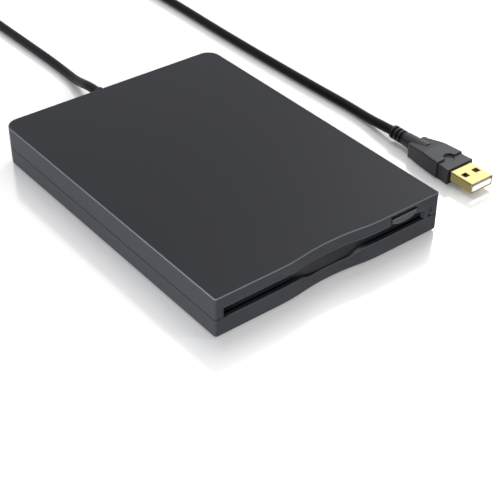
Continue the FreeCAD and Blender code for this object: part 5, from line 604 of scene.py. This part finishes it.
class DRIVE_OT_electronics(bpy.types.Operator):
    """Give the boards, chips, leads and switches their printed and moulded finishes"""
    bl_idname = "drive.electronics"
    bl_label = "Electronics"

    def execute(self, context):
        colours = context.scene.drive_colours
        finish_of(surface("printed_board", colours.board, roughness=(0.30, 0.42), texture=tracks,
                          depth=0.02, share=0.5, marked="texture", Coat_Weight=0.2),
                  "spindle_board", "main_board", "usb_board")
        finish_of(surface("black_board", colours.front_board, roughness=(0.36, 0.48), texture=tracks,
                          depth=0.02, share=0.4, marked="texture", Specular_IOR_Level=0.2),
                  "front_board")
        finish_of(plastic("black_mouldings", colours.moulding, roughness=(0.44, 0.58), grain=2600.0,
                          shine=0.3, depth=0.006),
                  "board_chips", "detector_switches", "head_carriage", "head_arm")
        finish_of(plastic("socket_plastic", colours.socket, roughness=(0.36, 0.48), grain=1800.0,
                          shine=0.4, depth=0.004),
                  "board_sockets")
        finish_of(plastic("plunger_plastic", colours.plunger, roughness=(0.30, 0.42), grain=1800.0,
                          shine=0.4, depth=0.003),
                  "plunger_disk_in", "plunger_protect", "plunger_density")
        finish_of(plastic("lamp_resin", colours.resin, roughness=(0.10, 0.20), grain=900.0, shine=0.5,
                          depth=0.001),
                  "led")
        finish_of(plastic("wire_jackets", colours.inner_lead, roughness=(0.34, 0.46), grain=2000.0,
                          shine=0.4, depth=0.003),
                  "inner_leads")
        finish_of(surface("ribbon", colours.ribbon, roughness=(0.22, 0.34), texture=brushed,
                          settings=[("Stretch", (2400.0, 40.0, 40.0))], depth=0.004, share=0.4,
                          marked="texture"),
                  "flat_cable", "head_flex")
        return {"FINISHED"}


# ---------------------------------------------------------------- stage

CAMERA_TARGET = Vector((-0.01231, -0.03933, 0.0008))
CAMERA_DISTANCE = 0.45368
CAMERA_AZIMUTH, CAMERA_ELEVATION, CAMERA_ROLL = -38.560, 36.826, 0.638
CAMERA_LENS, CAMERA_SENSOR = 87.84, 36.0
CAMERA_NEAR, CAMERA_FAR = 0.01, 20
AMBIENT, AMBIENT_COLOUR = 0.4, (0.97, 0.98, 1, 1)
WHITE = (1, 1, 1, 1)
FLOOR_HALF, FLOOR_COLOUR = 3.0, (0.9, 0.9, 0.9, 1)
FLOOR_MIRROR, FLOOR_ROUGHNESS, FLOOR_LIFT = 0.25, 0.16, 0.12
# Name, place, target, width, height and power of each lamp
LAMPS = (
    ("high_right", (0.50, 0.25, 0.75), (0, 0, 0), 0.4, 0.4, 1.5),
    ("low_right", (0.85, 0.40, 0.50), (0.04, -0.02, 0), 0.4, 0.4, 1.6),
    ("over", (0.10, 0.20, 0.70), (0, 0, 0), 0.35, 0.35, 2.0),
    ("left", (-0.50, -0.28, 0.05), (-0.04, -0.03, 0.01), 0.15, 0.08, 7.2),
    ("front_edge", (0.45, -0.55, 0.54), (0, -0.07, 0.017), 0.12, 0.12, 1.0),
)


def add_camera(scene):
    """The camera at its measured place, looking down at the drive's front left."""
    turn, rise, roll = (math.radians(a) for a in (CAMERA_AZIMUTH, CAMERA_ELEVATION, CAMERA_ROLL))
    back = Vector((math.sin(turn) * math.cos(rise), -math.cos(turn) * math.cos(rise), math.sin(rise)))
    right = Vector((math.cos(turn), math.sin(turn), 0))
    up = back.cross(right)
    right_rolled = right * math.cos(roll) + up * math.sin(roll)
    up_rolled = up * math.cos(roll) - right * math.sin(roll)
    data = bpy.data.cameras.new("camera")
    data.sensor_width, data.lens = CAMERA_SENSOR, CAMERA_LENS
    data.clip_start, data.clip_end = CAMERA_NEAR, CAMERA_FAR
    camera = bpy.data.objects.new("camera", data)
    turned = Matrix((right_rolled, up_rolled, back)).transposed()
    camera.matrix_world = Matrix.Translation(CAMERA_TARGET + back * CAMERA_DISTANCE) @ turned.to_4x4()
    scene.collection.objects.link(camera)
    scene.camera = camera


def add_lamp(scene, name, place, target, width, height, power):
    """A soft rectangular lamp that looks at a target."""
    data = bpy.data.lights.new(name, "AREA")
    data.shape, data.size, data.size_y, data.energy = "RECTANGLE", width, height, power
    lamp = bpy.data.objects.new(name, data)
    lamp.location = place
    lamp.rotation_euler = (Vector(target) - Vector(place)).to_track_quat("-Z", "Y").to_euler()
    scene.collection.objects.link(lamp)


def seen_directly(tree):
    """One where the camera, a mirror or glass sees a surface, and none where it lights others."""
    path = add(tree, "ShaderNodeLightPath")
    either = maths(tree, "MAXIMUM", path.outputs["Is Camera Ray"], path.outputs["Is Glossy Ray"])
    return maths(tree, "MAXIMUM", either, path.outputs["Is Transmission Ray"])


def add_world(scene):
    """White for the camera, mirrors and glass, and a softer light for everything else."""
    world = bpy.data.worlds.new("studio")
    scene.world = world
    world.use_nodes = True
    tree = world.node_tree
    tree.nodes.clear()
    out = add(tree, "ShaderNodeOutputWorld")
    seen = add(tree, "ShaderNodeBackground", Color=WHITE, Strength=1.0)
    soft = add(tree, "ShaderNodeBackground", Color=AMBIENT_COLOUR, Strength=AMBIENT)
    choose = add(tree, "ShaderNodeMixShader")
    tree.links.new(seen_directly(tree), choose.inputs[0])
    tree.links.new(soft.outputs[0], choose.inputs[1])
    tree.links.new(seen.outputs[0], choose.inputs[2])
    tree.links.new(choose.outputs[0], out.inputs["Surface"])


def add_floor(scene):
    """A white lacquered table top that keeps the drive's shadow and a soft reflection."""
    places = [(FLOOR_HALF * x, FLOOR_HALF * y, 0) for x, y in ((-1, -1), (1, -1), (1, 1), (-1, 1))]
    mesh = bpy.data.meshes.new("table_top")
    mesh.from_pydata(places, [], [(0, 1, 2, 3)])
    floor = bpy.data.objects.new("table_top", mesh)
    scene.collection.objects.link(floor)
    material = bpy.data.materials.new("white_lacquer")
    material.use_nodes = True
    tree = material.node_tree
    shader = tree.nodes["Principled BSDF"]
    shader.inputs["Base Color"].default_value = FLOOR_COLOUR
    shader.inputs["Metallic"].default_value = FLOOR_MIRROR
    shader.inputs["Roughness"].default_value = FLOOR_ROUGHNESS
    glow = add(tree, "ShaderNodeEmission", Color=WHITE)
    tree.links.new(maths(tree, "MULTIPLY", seen_directly(tree), FLOOR_LIFT), glow.inputs["Strength"])
    total = add(tree, "ShaderNodeAddShader")
    tree.links.new(shader.outputs[0], total.inputs[0])
    tree.links.new(glow.outputs[0], total.inputs[1])
    tree.links.new(total.outputs[0], tree.nodes["Material Output"].inputs["Surface"])
    mesh.materials.append(material)


class DRIVE_OT_stage(bpy.types.Operator):
    """Set up the camera, the lamps and the white table top"""
    bl_idname = "drive.stage"
    bl_label = "Stage"

    def execute(self, context):
        scene = context.scene
        scene.view_settings.view_transform = "Standard"
        add_camera(scene)
        add_world(scene)
        for lamp in LAMPS:
            add_lamp(scene, *lamp)
        add_floor(scene)
        return {"FINISHED"}


# ---------------------------------------------------------------- panel

class DRIVE_PT_panel(bpy.types.Panel):
    bl_label = "Disk drive"
    bl_idname = "DRIVE_PT_panel"
    bl_space_type = "VIEW_3D"
    bl_region_type = "UI"
    bl_category = "Disk drive"

    def draw(self, context):
        layout = self.layout
        for group in (context.scene.drive_sizes, context.scene.drive_colours):
            for name in group.__annotations__:
                layout.prop(group, name)
        for operator in OPERATORS:
            layout.operator(operator.bl_idname)


OPERATORS = (DRIVE_OT_stage, DRIVE_OT_lead, DRIVE_OT_contacts, DRIVE_OT_case, DRIVE_OT_mechanism,
             DRIVE_OT_electronics)
CLASSES = (DriveSizes, DriveColours, *OPERATORS, DRIVE_PT_panel)


def register():
    for item in CLASSES:
        bpy.utils.register_class(item)
    bpy.types.Scene.drive_sizes = bpy.props.PointerProperty(type=DriveSizes)
    bpy.types.Scene.drive_colours = bpy.props.PointerProperty(type=DriveColours)


def unregister():
    del bpy.types.Scene.drive_sizes
    del bpy.types.Scene.drive_colours
    for item in reversed(CLASSES):
        bpy.utils.unregister_class(item)


def main():
    register()
    bpy.ops.drive.stage()
    bpy.ops.drive.lead()
    bpy.ops.drive.contacts()
    bpy.ops.drive.case()
    bpy.ops.drive.mechanism()
    bpy.ops.drive.electronics()


if __name__ == "__main__":
    main()
